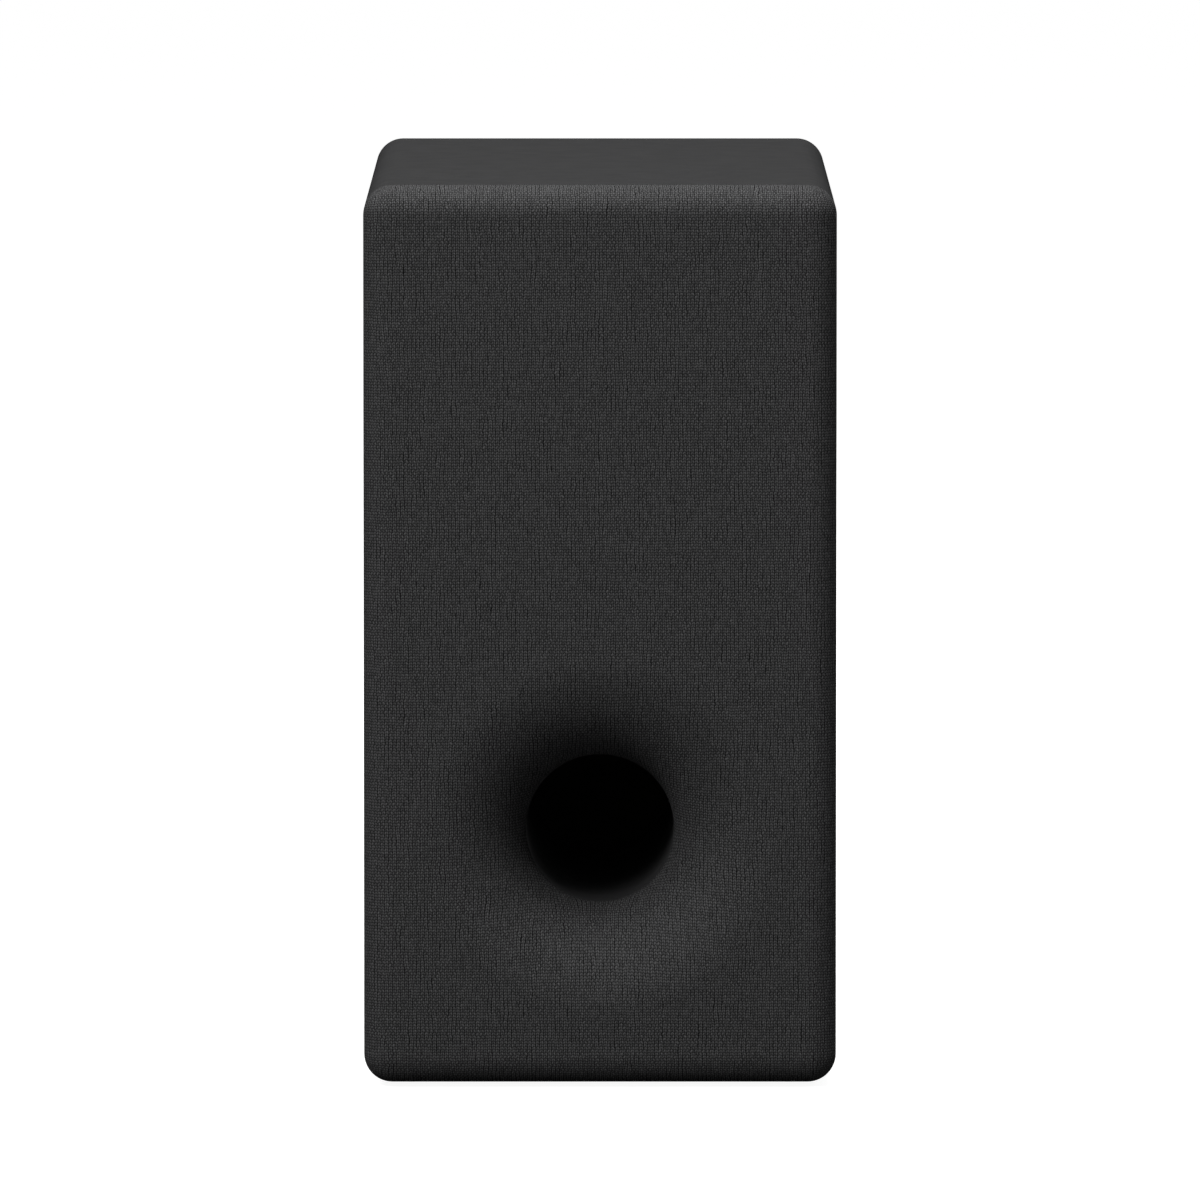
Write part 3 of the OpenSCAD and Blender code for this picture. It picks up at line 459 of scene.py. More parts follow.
@finish
def braided(name, colour, pitch=0.0006, roughness=0.45):
    """Braided flexible wire."""
    f = Finish(name, colour, roughness, Metallic=0.7)
    twist = f.node("TexWave", {"Vector": f.place, "Scale": 1 / (pitch * 6), "Distortion": 0.6},
                   bands_direction="DIAGONAL").outputs["Fac"]
    # painted shade and highlight: darker in the grooves between strands, lighter on their crowns, following
    # the bump
    f.paint(f.mix(twist, shade(colour, 0.35), shade(colour, 1.2)))
    return f.gloss(f.noise(0.003, 3), 0.35, 0.6).relief(twist, 0.00008, 0.9)


@finish
def enamelled(name, colour):
    """Copper wire under clear enamel, with darker baked patches."""
    f = Finish(name, colour, 0.26, Metallic=1.0, Coat_Weight=0.5)
    baked = f.noise(0.006, 4)
    f.paint(f.mix(f.between(baked, 0.0, 1.0), shade(colour, 0.65), shade(colour, 1.15)))
    return f.gloss(f.noise(0.002, 3), 0.2, 0.36)


@finish
def filmy(name, colour, roughness=0.3):
    """Tape or film: glossy, slightly wrinkled."""
    f = Finish(name, colour, roughness, Specular_IOR_Level=0.5)
    f.paint(f.tinted(f.noise(0.01, 3), 0.8, 1.15))
    f.gloss(f.noise(0.003, 4), roughness - 0.1, roughness + 0.15)
    return f.relief(f.noise(0.0035, 3, (1, 0.2, 1)), 0.00009, 0.5)


@finish
def solder_mask(name, colour):
    """Green board with darker tracks and fine weave under the mask."""
    f = Finish(name, colour, 0.38, Specular_IOR_Level=0.5)
    parts = f.node("SeparateXYZ", {0: f.scaled((330, 330, 330))})
    upright = f.node("CombineXYZ", {0: parts.outputs[0], 1: parts.outputs[2]}).outputs[0]
    tracks = f.node("TexBrick", {"Vector": upright, "Scale": 1.0, "Mortar Size": 0.1, "Color1": (0, 0, 0, 1),
                                 "Color2": (0.25, 0.25, 0.25, 1), "Mortar": (1, 1, 1, 1)}).outputs["Fac"]
    weave = f.noise(0.0007, 2)
    f.paint(f.mix(tracks, f.tinted(weave, 0.75, 1.2), shade(colour, 1.9)))
    return f.gloss(f.noise(0.01, 3), 0.3, 0.48).relief(f.math("ADD", tracks, weave), 0.00002, 0.6)


@finish
def sleeved(name, colour, stripe, x0, pitch):
    """Shrink sleeve with one pale stripe down each can."""
    f = Finish(name, colour, 0.3, Specular_IOR_Level=0.5)
    stripe_at, stripe_half = 0.16, 0.07
    along = f.node("SeparateXYZ", {0: f.place})
    step = f.math("DIVIDE", f.math("SUBTRACT", along.outputs[0], x0), pitch)
    across = f.math("SUBTRACT", f.math("FRACT", f.math("ADD", step, 0.5)), 0.5)
    on = f.math("LESS_THAN", f.math("ABSOLUTE", f.math("SUBTRACT", across, stripe_at)), stripe_half)
    f.paint(f.mix(on, f.tinted(f.noise(0.004, 3), 0.8, 1.3), stripe))
    return f.gloss(f.noise(0.004, 3), 0.22, 0.4).relief(f.noise(0.003, 3), 0.00003, 0.4)


@finish
def fluffy(name, colour):
    """Loose polyester fibre: fine strands that run every way, thicker and thinner in clouds."""
    f = Finish(name, colour, 0.95, Sheen_Weight=0.4, Sheen_Roughness=0.6, Specular_IOR_Level=0.0)
    strands = f.math("MINIMUM", f.noise(0.0011, 6, (1, 0.22, 1)), f.noise(0.0012, 6, (1, 1, 0.25)))
    cloud = f.noise(0.014, 4)
    # painted shade and highlight: the colour follows the height of strands and clouds that drives the bump,
    # darker in the hollows and lighter on top
    depth = f.math("ADD", f.math("MULTIPLY", cloud, 0.4), f.math("MULTIPLY", strands, 0.7))
    f.paint(f.mix(f.between(depth, 0.0, 1.0), shade(colour, 0.78), shade(colour, 1.12)))
    return f.relief(f.math("ADD", strands, cloud), 0.0006, 0.5)


@finish
def clear(name, colour, roughness=0.08):
    """Clear moulded plastic with a slight haze."""
    f = Finish(name, colour, roughness, Transmission_Weight=0.9, IOR=1.49)
    return f.gloss(f.noise(0.002, 3), roughness, roughness + 0.08).relief(f.noise(0.001, 3), 0.00001, 0.4)


# ---- Shapes ----

def turns(steps, start=0.0):
    return [start + 2 * math.pi * i / steps for i in range(steps)]


def circle(x, y, z, r, steps):
    return [(x + r * math.cos(a), y, z + r * math.sin(a)) for a in turns(steps)]


def ring_places(count, r, z, start=0.0):
    """Places round an axis at [0, z], as [x, z]."""
    return [(r * math.cos(a), z + r * math.sin(a)) for a in turns(count, math.radians(start))]


def bar(w, h, r, x=0.0, z=0.0, arc=6):
    """A rounded rectangle as [x, z] points, with as many points whatever its size."""
    r = max(TINY, min(r, w / 2 - TINY, h / 2 - TINY))
    points = []
    for turn, (sx, sz) in enumerate(((1, 1), (-1, 1), (-1, -1), (1, -1))):
        for i in range(arc + 1):
            a = QUARTER * (turn + i / arc)
            points.append((x + sx * (w / 2 - r) + r * math.cos(a), z + sz * (h / 2 - r) + r * math.sin(a)))
    return points


def level(outline, y):
    """An outline of [x, z] points set at a depth."""
    return [(x, y, z) for x, z in outline]


def hole(x, z, r, steps=24):
    """A round hole's outline, as a function of how far it is drawn in."""
    return lambda d: [(px, pz) for px, _, pz in circle(x, 0, z, r - d, steps)]


def slab(w, h, r, x=0.0, z=0.0, arc=4, keep_r=False):
    """A rounded rectangle's outline, as a function of how far it is drawn in."""
    return lambda d: bar(w - 2 * d, h - 2 * d, r if keep_r else r - d, x, z, arc)


def arc_points(cx, cy, r, start, end, steps):
    """Points along an arc, with its angles in degrees."""
    angles = [math.radians(start + (end - start) * i / steps) for i in range(steps + 1)]
    return [(cx + r * math.cos(a), cy + r * math.sin(a)) for a in angles]


def eased(y0, y1, ease, steps=3):
    """Depths from one face to the other, each with how far the outline is drawn in there."""
    near = []
    for i in range(steps + 1):
        a = QUARTER * i / steps
        near.append((y0 + ease * (1 - math.cos(a)), ease * (1 - math.sin(a))))
    return near + [(y0 + y1 - y, drawn) for y, drawn in reversed(near)]


def smooth_path(points, steps):
    """Points of a smooth curve through a list, as the leads follow."""
    last = len(points) - 1
    found = []
    for k in range(steps + 1):
        t = k / steps * last
        i = min(int(t), last - 1)
        u = t - i
        a, b, c, d = (Vector(points[max(0, min(last, i + j))]) for j in (-1, 0, 1, 2))
        found.append(0.5 * (2 * b + (c - a) * u + (2 * a - 5 * b + 4 * c - d) * u * u
                            + (3 * b - a - 3 * c + d) * u ** 3))
    return found


class Shape:
    """The geometry of one piece, gathered in millimetres."""

    def __init__(self):
        self.points = []
        self.faces = []

    def loft(self, loops, ring=False, caps=True):
        """Joins loops of equally many points. ring joins the last to the first, caps fills both ends."""
        start, size, rows = len(self.points), len(loops[0]), len(loops)
        for loop in loops:
            self.points.extend(loop)
        for i in range(rows if ring else rows - 1):
            a, b = start + i * size, start + (i + 1) % rows * size
            self.faces.extend((a + k, a + (k + 1) % size, b + (k + 1) % size, b + k) for k in range(size))
        if caps and not ring:
            self.faces.append(tuple(range(start, start + size)))
            self.faces.append(tuple(range(start + (rows - 1) * size, start + rows * size)))
        return self

    def turned(self, profile, x=0.0, z=0.0, steps=96):
        """A closed outline of [radius, depth] points turned round an axis that runs front to back."""
        return self.loft([circle(x, y, z, max(r, 0.0), steps) for r, y in profile], ring=True)

    def standing(self, profile, x, y, steps=64):
        """A closed outline of [radius, height] points turned round an upright axis."""
        return self.loft([[(x + r * math.cos(a), y + r * math.sin(a), z) for a in turns(steps)]
                          for r, z in profile], ring=True)

    def block(self, x, z, w, h, y0, y1, r=0.4, ease=0.3):
        """A box with rounded edges, given by its middle in x and z, its size and its two depths."""
        outline = slab(w, h, r, x, z)
        return self.loft([level(outline(d), y) for y, d in eased(y0, y1, ease)])

    def plate(self, outer, holes, y0, y1, ease=0.2):
        """A plate with holes. Each outline is a function of how far it is drawn into the material."""
        ends = ([], [])
        levels = eased(y0, y1, ease)
        for outline, way in [(outer, 1)] + [(hole, -1) for hole in holes]:
            start = len(self.points)
            loops = [level(outline(way * drawn), y) for y, drawn in levels]
            self.loft(loops, caps=False)
            size = len(loops[0])
            ends[0].append((start, loops[0]))
            ends[1].append((start + (len(loops) - 1) * size, loops[-1]))
        for end in ends:
            index = [start + k for start, loop in end for k in range(len(loop))]
            for face in tessellate_polygon([[Vector(p) for p in loop] for _, loop in end]):
                self.faces.append(tuple(index[k] for k in face))
        return self

    def tube(self, path, r, sides=12, closed=False):
        """A round tube along a path, its ring carried along without twist."""
        path = [Vector(p) for p in path]
        last = len(path) - 1
        loops, side = [], None
        for i, p in enumerate(path):
            if closed:
                way = path[(i + 1) % (last + 1)] - path[i - 1]
            else:
                way = path[min(i + 1, last)] - path[max(i - 1, 0)]
            way.normalize()
            if side is None:
                side = way.orthogonal().normalized()
            side = (side - way * side.dot(way)).normalized()
            up = way.cross(side)
            loops.append([p + r * (math.cos(a) * side + math.sin(a) * up) for a in turns(sides)])
        return self.loft(loops, ring=closed)

    def ribbon(self, path, width, y0, y1):
        """A flat printed line along [x, z] points."""
        loops = []
        for i, (x, z) in enumerate(path):
            (ax, az), (bx, bz) = path[max(i - 1, 0)], path[min(i + 1, len(path) - 1)]
            size = math.hypot(bx - ax, bz - az)
            nx, nz = -(bz - az) / size * width / 2, (bx - ax) / size * width / 2
            edges = ((x - nx, z - nz), (x + nx, z + nz))
            loops.append(level(edges, y0) + level(edges[::-1], y1))
        return self.loft(loops)

    def mesh(self, name, crease=32.0):
        data = bpy.data.meshes.new(name)
        data.from_pydata([Vector(p) * MM for p in self.points], [], self.faces)
        work = bmesh.new()
        work.from_mesh(data)
        bmesh.ops.remove_doubles(work, verts=work.verts, dist=WELD)
        bmesh.ops.recalc_face_normals(work, faces=work.faces)
        work.to_mesh(data)
        work.free()
        return soften(data, crease)

    def piece(self, name, material, replaces=(), slot=None, body="cabinet", crease=32.0):
        made = placed(name, self.mesh(name, crease), material)
        return riding(made, body, replaces)


def soften(data, crease=32.0):
    """Smooth shading with sharp edges kept."""
    data.shade_smooth()
    data.set_sharp_from_angle(angle=math.radians(crease))
    return data


def placed(name, data, material):
    made = bpy.data.objects.new(name, data)
    bpy.context.scene.collection.objects.link(made)
    data.materials.clear()
    data.materials.append(material)
    return made


def riding(made, body, replaces=()):
    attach(made, body)
    if replaces:
        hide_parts(*replaces)
    return made


def dress(material, *nodes):
    """Gives CAD nodes that keep their own shape a finish."""
    for node in nodes:
        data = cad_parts[node].data
        data.materials.clear()
        data.materials.append(material)


# ---- Repeats ----

def scatter_tree():
    """Geometry nodes that set a copy of one piece on every point, turned about the front-to-back axis."""
    tree = bpy.data.node_groups.new("scatter", "GeometryNodeTree")
    for label, kind in (("Geometry", "Geometry"), ("Piece", "Object"), ("Size", "Float"),
                        ("Turn Spread", "Float"), ("Seed", "Int"), ("Finish", "Material")):
        tree.interface.new_socket(label, in_out="INPUT", socket_type="NodeSocket" + kind)
    tree.interface.new_socket("Geometry", in_out="OUTPUT", socket_type="NodeSocketGeometry")

    def node(kind, **choices):
        made = tree.nodes.new(kind)
        for name, choice in choices.items():
            setattr(made, name, choice)
        return made

    given, out = node("NodeGroupInput"), node("NodeGroupOutput")
    source = node("GeometryNodeObjectInfo", transform_space="ORIGINAL")
    chance = node("FunctionNodeRandomValue", data_type="FLOAT")
    turn = node("GeometryNodeInputNamedAttribute", data_type="FLOAT")
    turn.inputs["Name"].default_value = "turn"
    total, opposite = node("ShaderNodeMath", operation="ADD"), node("ShaderNodeMath", operation="MULTIPLY")
    opposite.inputs[1].default_value = -1.0
    angles, rotation = node("ShaderNodeCombineXYZ"), node("FunctionNodeEulerToRotation")
    copies = node("GeometryNodeInstanceOnPoints")
    solid, coated = node("GeometryNodeRealizeInstances"), node("GeometryNodeSetMaterial")
    for a, b in (
            (given.outputs["Piece"], source.inputs["Object"]),
            (given.outputs["Turn Spread"], opposite.inputs[0]),
            (opposite.outputs[0], chance.inputs[2]), (given.outputs["Turn Spread"], chance.inputs[3]),
            (given.outputs["Seed"], chance.inputs["Seed"]),
            (chance.outputs[1], total.inputs[0]), (turn.outputs[0], total.inputs[1]),
            (total.outputs[0], angles.inputs["Y"]), (angles.outputs[0], rotation.inputs[0]),
            (given.outputs["Geometry"], copies.inputs["Points"]),
            (source.outputs["Geometry"], copies.inputs["Instance"]),
            (rotation.outputs[0], copies.inputs["Rotation"]),
            (given.outputs["Size"], copies.inputs["Scale"]),
            (copies.outputs[0], solid.inputs[0]), (solid.outputs[0], coated.inputs["Geometry"]),
            (given.outputs["Finish"], coated.inputs["Material"]), (coated.outputs[0], out.inputs[0])):
        tree.links.new(a, b)
    return tree


def scattered(name, shape, places, material, turn_spread=0.0, seed=0, crease=32.0, turned=None):
    """Sets a shape, drawn round [0, 0, 0], on places in millimetres, and gives the plain object back."""
    tree = bpy.data.node_groups.get("scatter") or scatter_tree()
    template = placed(name + "_one", shape.mesh(name + "_one", crease), material)
    data = bpy.data.meshes.new(name + "_places")
    data.from_pydata([Vector(p) * MM for p in places], [], [])
    angles = data.attributes.new("turn", "FLOAT", "POINT")
    angles.data.foreach_set("value", turned or [0.0] * len(places))
    made = placed(name, data, material)
    modifier = made.modifiers.new("scatter", "NODES")
    modifier.node_group = tree
    values = {"Piece": template, "Size": 1.0, "Turn Spread": turn_spread, "Seed": seed, "Finish": material}
    for socket in tree.interface.items_tree:
        if socket.in_out == "INPUT" and socket.name in values:
            modifier[socket.identifier] = values[socket.name]
    bpy.context.view_layer.update()
    result = bpy.data.meshes.new_from_object(made.evaluated_get(bpy.context.evaluated_depsgraph_get()))
    made.modifiers.remove(modifier)
    made.data = result
    if not result.polygons:
        raise RuntimeError(name + " came out empty")
    result.name = name
    if "turn" in result.attributes:
        result.attributes.remove(result.attributes["turn"])
    bpy.data.objects.remove(template)
    return made


def screw_shape(r, l, head_r, head_h, way, pitch):
    """A pan-head screw with a crossed recess and a threaded shank. Its head sits on y = 0."""
    steps, cuts = 24, 4
    shape = Shape()
    rim = 0.3 * head_h
    arms = cross_outline(0.62 * head_r, 0.13 * head_r + 0.12, steps)
    foot = cross_outline(0.25 * head_r, 0.1 * head_r, steps)
    head = [circle(0, -way * y, 0, head_r - d, steps)
            for y, d in ((0.0, 0.0), (head_h - rim, 0.0), (head_h - 0.5 * rim, 0.13 * rim),
                         (head_h - 0.1 * rim, 0.6 * rim), (head_h, 1.6 * rim))]
    head += [level(arms, -way * head_h), level(foot, -way * 0.25 * head_h)]
    shape.loft(head)
    rows = int(l / pitch * cuts)
    loops = []
    for i in range(rows + 1):
        y = l * i / rows
        taper = min(1.0, (l - y) / (2.2 * r) + 0.12)
        loops.append([])
        for a in turns(steps):
            crest = abs((y / pitch - a / (2 * math.pi)) % 1.0 - 0.5) * 2
            radius = taper * r * (0.78 + 0.2 * crest)
            loops[-1].append((radius * math.cos(a), way * y, radius * math.sin(a)))
    return shape.loft(loops)


def cross_outline(reach, half, steps):
    """A plus sign as points at even angles, so that it joins a circle of as many points."""
    points = []
    for a in turns(steps):
        c, s = math.cos(a), math.sin(a)
        big, small = max(abs(c), abs(s)), min(abs(c), abs(s))
        r = min(reach / big, half / small if small > 1e-6 else reach / big)
        points.append((r * c, r * s))
    return points


# ---- Stage ----

def aimed(name, power, size, place, target, spread=math.pi):
    """A soft square lamp at a place in metres, turned to a target."""
    lamp = bpy.data.lights.new(name, "AREA")
    lamp.energy, lamp.size, lamp.spread = power, size, spread
    made = bpy.data.objects.new(name, lamp)
    made.location = place
    made.rotation_euler = (Vector(target) - Vector(place)).to_track_quat("-Z", "Y").to_euler()
    bpy.context.scene.collection.objects.link(made)
    return made


def seen_ray(tree):
    """One for a ray that the camera, a reflection or a clear piece sends, and 0 for the rest."""
    path = tree.nodes.new("ShaderNodeLightPath")
    sums = [tree.nodes.new("ShaderNodeMath") for _ in range(2)]
    for node in sums:
        node.operation = "MAXIMUM"
    tree.links.new(path.outputs["Is Camera Ray"], sums[0].inputs[0])
    tree.links.new(path.outputs["Is Glossy Ray"], sums[0].inputs[1])
    tree.links.new(sums[0].outputs[0], sums[1].inputs[0])
    tree.links.new(path.outputs["Is Transmission Ray"], sums[1].inputs[1])
    return sums[1].outputs[0]


def make_world(fill):
    world = bpy.data.worlds.new("studio")
    world.use_nodes = True
    bpy.context.scene.world = world
    tree = world.node_tree
    light = tree.nodes["Background"]
    light.inputs["Color"].default_value = (1, 1, 1, 1)
    light.inputs["Strength"].default_value = fill
    white = tree.nodes.new("ShaderNodeBackground")
    white.inputs["Color"].default_value = (1, 1, 1, 1)
    white.inputs["Strength"].default_value = 1.0
    pick = tree.nodes.new("ShaderNodeMixShader")
    tree.links.new(seen_ray(tree), pick.inputs[0])
    tree.links.new(light.outputs[0], pick.inputs[1])
    tree.links.new(white.outputs[0], pick.inputs[2])
    tree.links.new(pick.outputs[0], tree.nodes["World Output"].inputs["Surface"])


def floor_material():
    """White to the eye, with the object's shadow on it, and greyer to the light that it throws back."""
    material = bpy.data.materials.new("floor_paper")
    material.use_nodes = True
    tree = material.node_tree
    tree.nodes.remove(tree.nodes["Principled BSDF"])
    plain = tree.nodes.new("ShaderNodeBsdfDiffuse")
    plain.inputs["Color"].default_value = (0.1, 0.1, 0.1, 1)
    lit = tree.nodes.new("ShaderNodeBsdfDiffuse")
    lit.inputs["Color"].default_value = (0.4, 0.4, 0.4, 1)
    glow = tree.nodes.new("ShaderNodeEmission")
    glow.inputs["Color"].default_value = (1, 1, 1, 1)
    glow.inputs["Strength"].default_value = 0.915
    both, pick = tree.nodes.new("ShaderNodeAddShader"), tree.nodes.new("ShaderNodeMixShader")
    tree.links.new(lit.outputs[0], both.inputs[0])
    tree.links.new(glow.outputs[0], both.inputs[1])
    tree.links.new(seen_ray(tree), pick.inputs[0])
    tree.links.new(plain.outputs[0], pick.inputs[1])
    tree.links.new(both.outputs[0], pick.inputs[2])
    tree.links.new(pick.outputs[0], tree.nodes["Material Output"].inputs["Surface"])
    return material


class SUB_OT_stage(bpy.types.Operator):
    """Make the camera, the lamps and the pale floor"""
    bl_idname = "subwoofer.stage"
    bl_label = "Stage"

    def execute(self, context):
        stage = settings().stage
        scene = context.scene
        scene.view_settings.view_transform = "Standard"
        camera = bpy.data.cameras.new("camera")
        camera.lens, camera.sensor_width, camera.clip_end = stage.lens, 36.0, 100.0
        seen = bpy.data.objects.new("camera", camera)
        seen.location = (0, FRONT_Y * MM - stage.distance, stage.height)
        seen.rotation_euler = (QUARTER - stage.tilt, 0, 0)
        scene.collection.objects.link(seen)
        scene.camera = seen
        centre = (0, 0, MID_Z * MM)
        aimed("key_lamp", stage.key, 1.3, (-1.35, -2.7, 2.3), centre)
        aimed("top_lamp", stage.top, 1.4, (0.0, -0.1, 2.3), centre)
        aimed("rear_lamp", stage.rear, 1.8, (1.0, 3.0, 1.3), centre)
        make_world(stage.fill)
        reach = 14.0
        data = bpy.data.meshes.new("floor")
        data.from_pydata([(-reach, -reach, 0), (reach, -reach, 0), (reach, reach, 0), (-reach, reach, 0)], [],
                         [(0, 1, 2, 3)])
        placed("floor", data, floor_material())
        return {"FINISHED"}


# ---- Cloth front ----

def edge_columns(step, fan):
    """Places round the flat part of the front: a point, and the way out from it.
    At each corner the way out turns through a quarter circle."""
    cabinet = settings().cabinet
    half_w, half_h = BODY_W / 2 - cabinet.edge / MM, BODY_H / 2 - cabinet.edge / MM
    spots = [(half_w, MID_Z - half_h), (half_w, MID_Z + half_h), (-half_w, MID_Z + half_h),
             (-half_w, MID_Z - half_h)]
    columns = []
    for k in range(4):
        (ax, az), (bx, bz) = spots[k], spots[(k + 1) % 4]
        count = max(2, round(math.hypot(bx - ax, bz - az) / step))
        out = (math.cos(QUARTER * k), math.sin(QUARTER * k))
        columns += [((ax + (bx - ax) * i / count, az + (bz - az) * i / count), out) for i in range(count + 1)]
        for i in range(1, fan):
            a = QUARTER * (k + i / fan)
            columns.append(((bx, bz), (math.cos(a), math.sin(a))))
    return columns


def cloth_rows(cabinet, cloth):
    """Rows of the cloth from the throat out to the hem. Each is (kind, a, b, depth, pattern):
    kind 'ring' is a radius a round the port with its radius b in the uncut cloth, 'flat' is a share a
    of the way from the mouth to the flat part's edge, and 'edge' is a distance a out from that edge
    with its distance b in the uncut cloth."""
    flare, mouth = cabinet.flare / MM, (cabinet.port + cabinet.flare) / MM
    edge, deep = cabinet.edge / MM, FACE_Y - cabinet.seam / MM - FRONT_Y
    give, crowding, turn = 0.0039, 1.3, 0.9
    in_throat, on_flat, on_edge, on_side = 44, 20, 14, 4
    rows = []
    for i in range(in_throat + 1):
        a = QUARTER * i / in_throat
        gone = flare * (QUARTER - a)
        rows.append(("ring", mouth - flare * math.cos(a), mouth - gone + give * gone ** 2,
                     flare * (1 - math.sin(a))))
    rows += [("flat", (i / on_flat) ** crowding, 0, 0.0) for i in range(1, on_flat + 1)]
    for i in range(1, on_edge + 1):
        a = QUARTER * i / on_edge
        rows.append(("edge", edge * math.sin(a), edge * a, edge * (1 - math.cos(a))))
    along = edge * QUARTER
    for i in range(1, on_side + 1):
        down = edge + (deep - turn - edge) * i / on_side
        rows.append(("edge", edge, along + down - edge, down))
    along += deep - turn - edge
    for i in range(1, on_side + 1):
        a = QUARTER * i / on_side
        rows.append(("edge", edge - turn * (1 - math.cos(a)), along + turn * a,
                     deep - turn + turn * math.sin(a)))
    along += turn * QUARTER
    hem = cloth.hem / MM
    rows += [("edge", edge - turn - hem * i / 3, along + hem * i / 3, deep) for i in range(1, 4)]
    return rows


def cloth_mesh(cabinet, cloth):
    """The cloth's outer face, and the size that it was cut to."""
    columns, rows = edge_columns(3.0, 14), cloth_rows(cabinet, cloth)
    mouth = (cabinet.port + cabinet.flare) / MM
    reach = rows[-1][2]
    flat = (BODY_W - 2 * cabinet.edge / MM + 2 * reach, BODY_H - 2 * cabinet.edge / MM + 2 * reach)
    work = bmesh.new()
    cut = work.verts.layers.float_vector.new("cut")
    grid = []
    for kind, a, b, depth in rows:
        line = []
        for (px, pz), (nx, nz) in columns:
            way = Vector((px, pz - PORT_Z)).normalized()
            if kind == "ring":
                x, z, u, v = way.x * a, PORT_Z + way.y * a, way.x * b, PORT_Z + way.y * b
            elif kind == "flat":
                x, z = way.x * mouth + (px - way.x * mouth) * a, PORT_Z + way.y * mouth
                z += (pz - z) * a
                u, v = x, z
            else:
                x, z, u, v = px + nx * a, pz + nz * a, px + nx * b, pz + nz * b
            vert = work.verts.new((x * MM, (FRONT_Y + depth) * MM, z * MM))
            vert[cut] = (u / flat[0] + 0.5, (v - MID_Z) / flat[1] + 0.5, 0)
            line.append(vert)
        grid.append(line)
    for near, far in zip(grid, grid[1:]):
        for k in range(len(near)):
            after = (k + 1) % len(near)
            work.faces.new((near[k], near[after], far[after], far[k]))
    bmesh.ops.remove_doubles(work, verts=work.verts, dist=WELD)
    front = next(face for face in work.faces
                 if abs(face.normal.y) > 0.99 and face.calc_center_median().y < (FRONT_Y + 0.1) * MM)
    if front.normal.y > 0:
        bmesh.ops.reverse_faces(work, faces=work.faces)
    pattern = work.loops.layers.uv.new("Cloth")
    for face in work.faces:
        for loop in face.loops:
            loop[pattern].uv = loop.vert[cut].xy
    work.verts.layers.float_vector.remove(cut)
    data = bpy.data.meshes.new("knit_front")
    work.to_mesh(data)
    work.free()
    data.shade_smooth()
    return data, (flat[0] * MM, flat[1] * MM)


class SUB_OT_cloth(bpy.types.Operator):
    """Stretch the knitted cloth over the front and into the port"""
    bl_idname = "subwoofer.cloth"
    bl_label = "Cloth Front"

    def execute(self, context):
        chosen = settings()
        data, flat = cloth_mesh(chosen.cabinet, chosen.cloth)
        made = placed("knit_front", data, knitted("knit_cloth", chosen.cloth, flat))
        wall = made.modifiers.new("thickness", "SOLIDIFY")
        wall.thickness, wall.offset, wall.use_even_offset = chosen.cloth.thickness, -1.0, True
        riding(made, "cabinet", ["grille_fabric"])
        return {"FINISHED"}


# ---- Cabinet ----

def body_outline(inset, radius):
    return bar(BODY_W - 2 * inset, BODY_H - 2 * inset, max(radius - inset, 0.3), 0, MID_Z, 16)


class SUB_OT_cabinet(bpy.types.Operator):
    """Wrap the box in its vinyl skin and finish the boards inside"""
    bl_idname = "subwoofer.cabinet"
    bl_label = "Cabinet"

    def execute(self, context):
        cabinet = settings().cabinet
        edge, fold, skin = cabinet.edge / MM, cabinet.fold / MM, cabinet.skin / MM
        wall = cabinet.lining / MM
        board_y = corners("back_board")[1].y
        lip = 0.5
        section = [(FACE_Y, skin), (FACE_Y, 0.2), (FACE_Y + 0.2, 0.0)]
        section += arc_points(BACK_Y - fold, fold, fold, -90, 0, 6)
        section += arc_points(BACK_Y - lip, wall + skin - lip, lip, 0, 90, 4)
        section += [(board_y, wall + skin), (board_y, wall), (BACK_Y - skin, wall), (BACK_Y - skin, skin)]
        shape = Shape().loft([level(body_outline(inset, edge), y) for y, inset in section], ring=True)
        shape.piece("vinyl_skin", vinyl("wrap_vinyl", cabinet.skin_colour), ["vinyl_wrap"], "wrap_vinyl")
        self.back_board(cabinet)
        dress(fibreboard("mdf", cabinet.wood_colour), "top_panel", "bottom_panel", "left_panel",
              "right_panel", "front_baffle", "window_brace")
        return {"FINISHED"}

    def back_board(self, cabinet):
        low, high = corners("back_board")
        gap = 2.0
        hole_w, hole_h = HOUSING_HIGH.x - HOUSING_LOW.x + 2 * gap, HOUSING_HIGH.z - HOUSING_LOW.z + 2 * gap
        board = slab(high.x - low.x, high.z - low.z, 0.3, 0, MID_Z, 2, keep_r=True)
        opening = slab(hole_w, hole_h, 1.0, 0, AMP_Z, 3, keep_r=True)
        Shape().plate(board, [opening], low.y, high.y, 0.3).piece(
            "painted_back", painted_board("painted_board", cabinet.paint_colour), ["back_board"],
            "painted_board")


class SUB_OT_feet(bpy.types.Operator):
    """Set the four rubber feet"""
    bl_idname = "subwoofer.feet"
    bl_label = "Feet"

    def execute(self, context):
        for node in ("foot_front_left", "foot_front_right", "foot_rear_left", "foot_rear_right"):
            low, high = corners(node)
            spot, r, top = (low + high) / 2, (high.x - low.x) / 2, high.z
            ease = 0.45
            profile = [(0, top), (r - 0.1, top), (r, top - 0.1)]
            profile += arc_points(r - ease, ease, ease, 0, -90, 5)
            profile += [(0.8 * r, 0.0), (0.74 * r, 0.25), (0.3 * r, 0.3), (0, 0.3)]
            Shape().standing(profile, spot.x, spot.y).piece(
                node + "_pad", rubbery("foot_rubber", settings().hardware.rubber), [node], "foot_rubber")
        return {"FINISHED"}


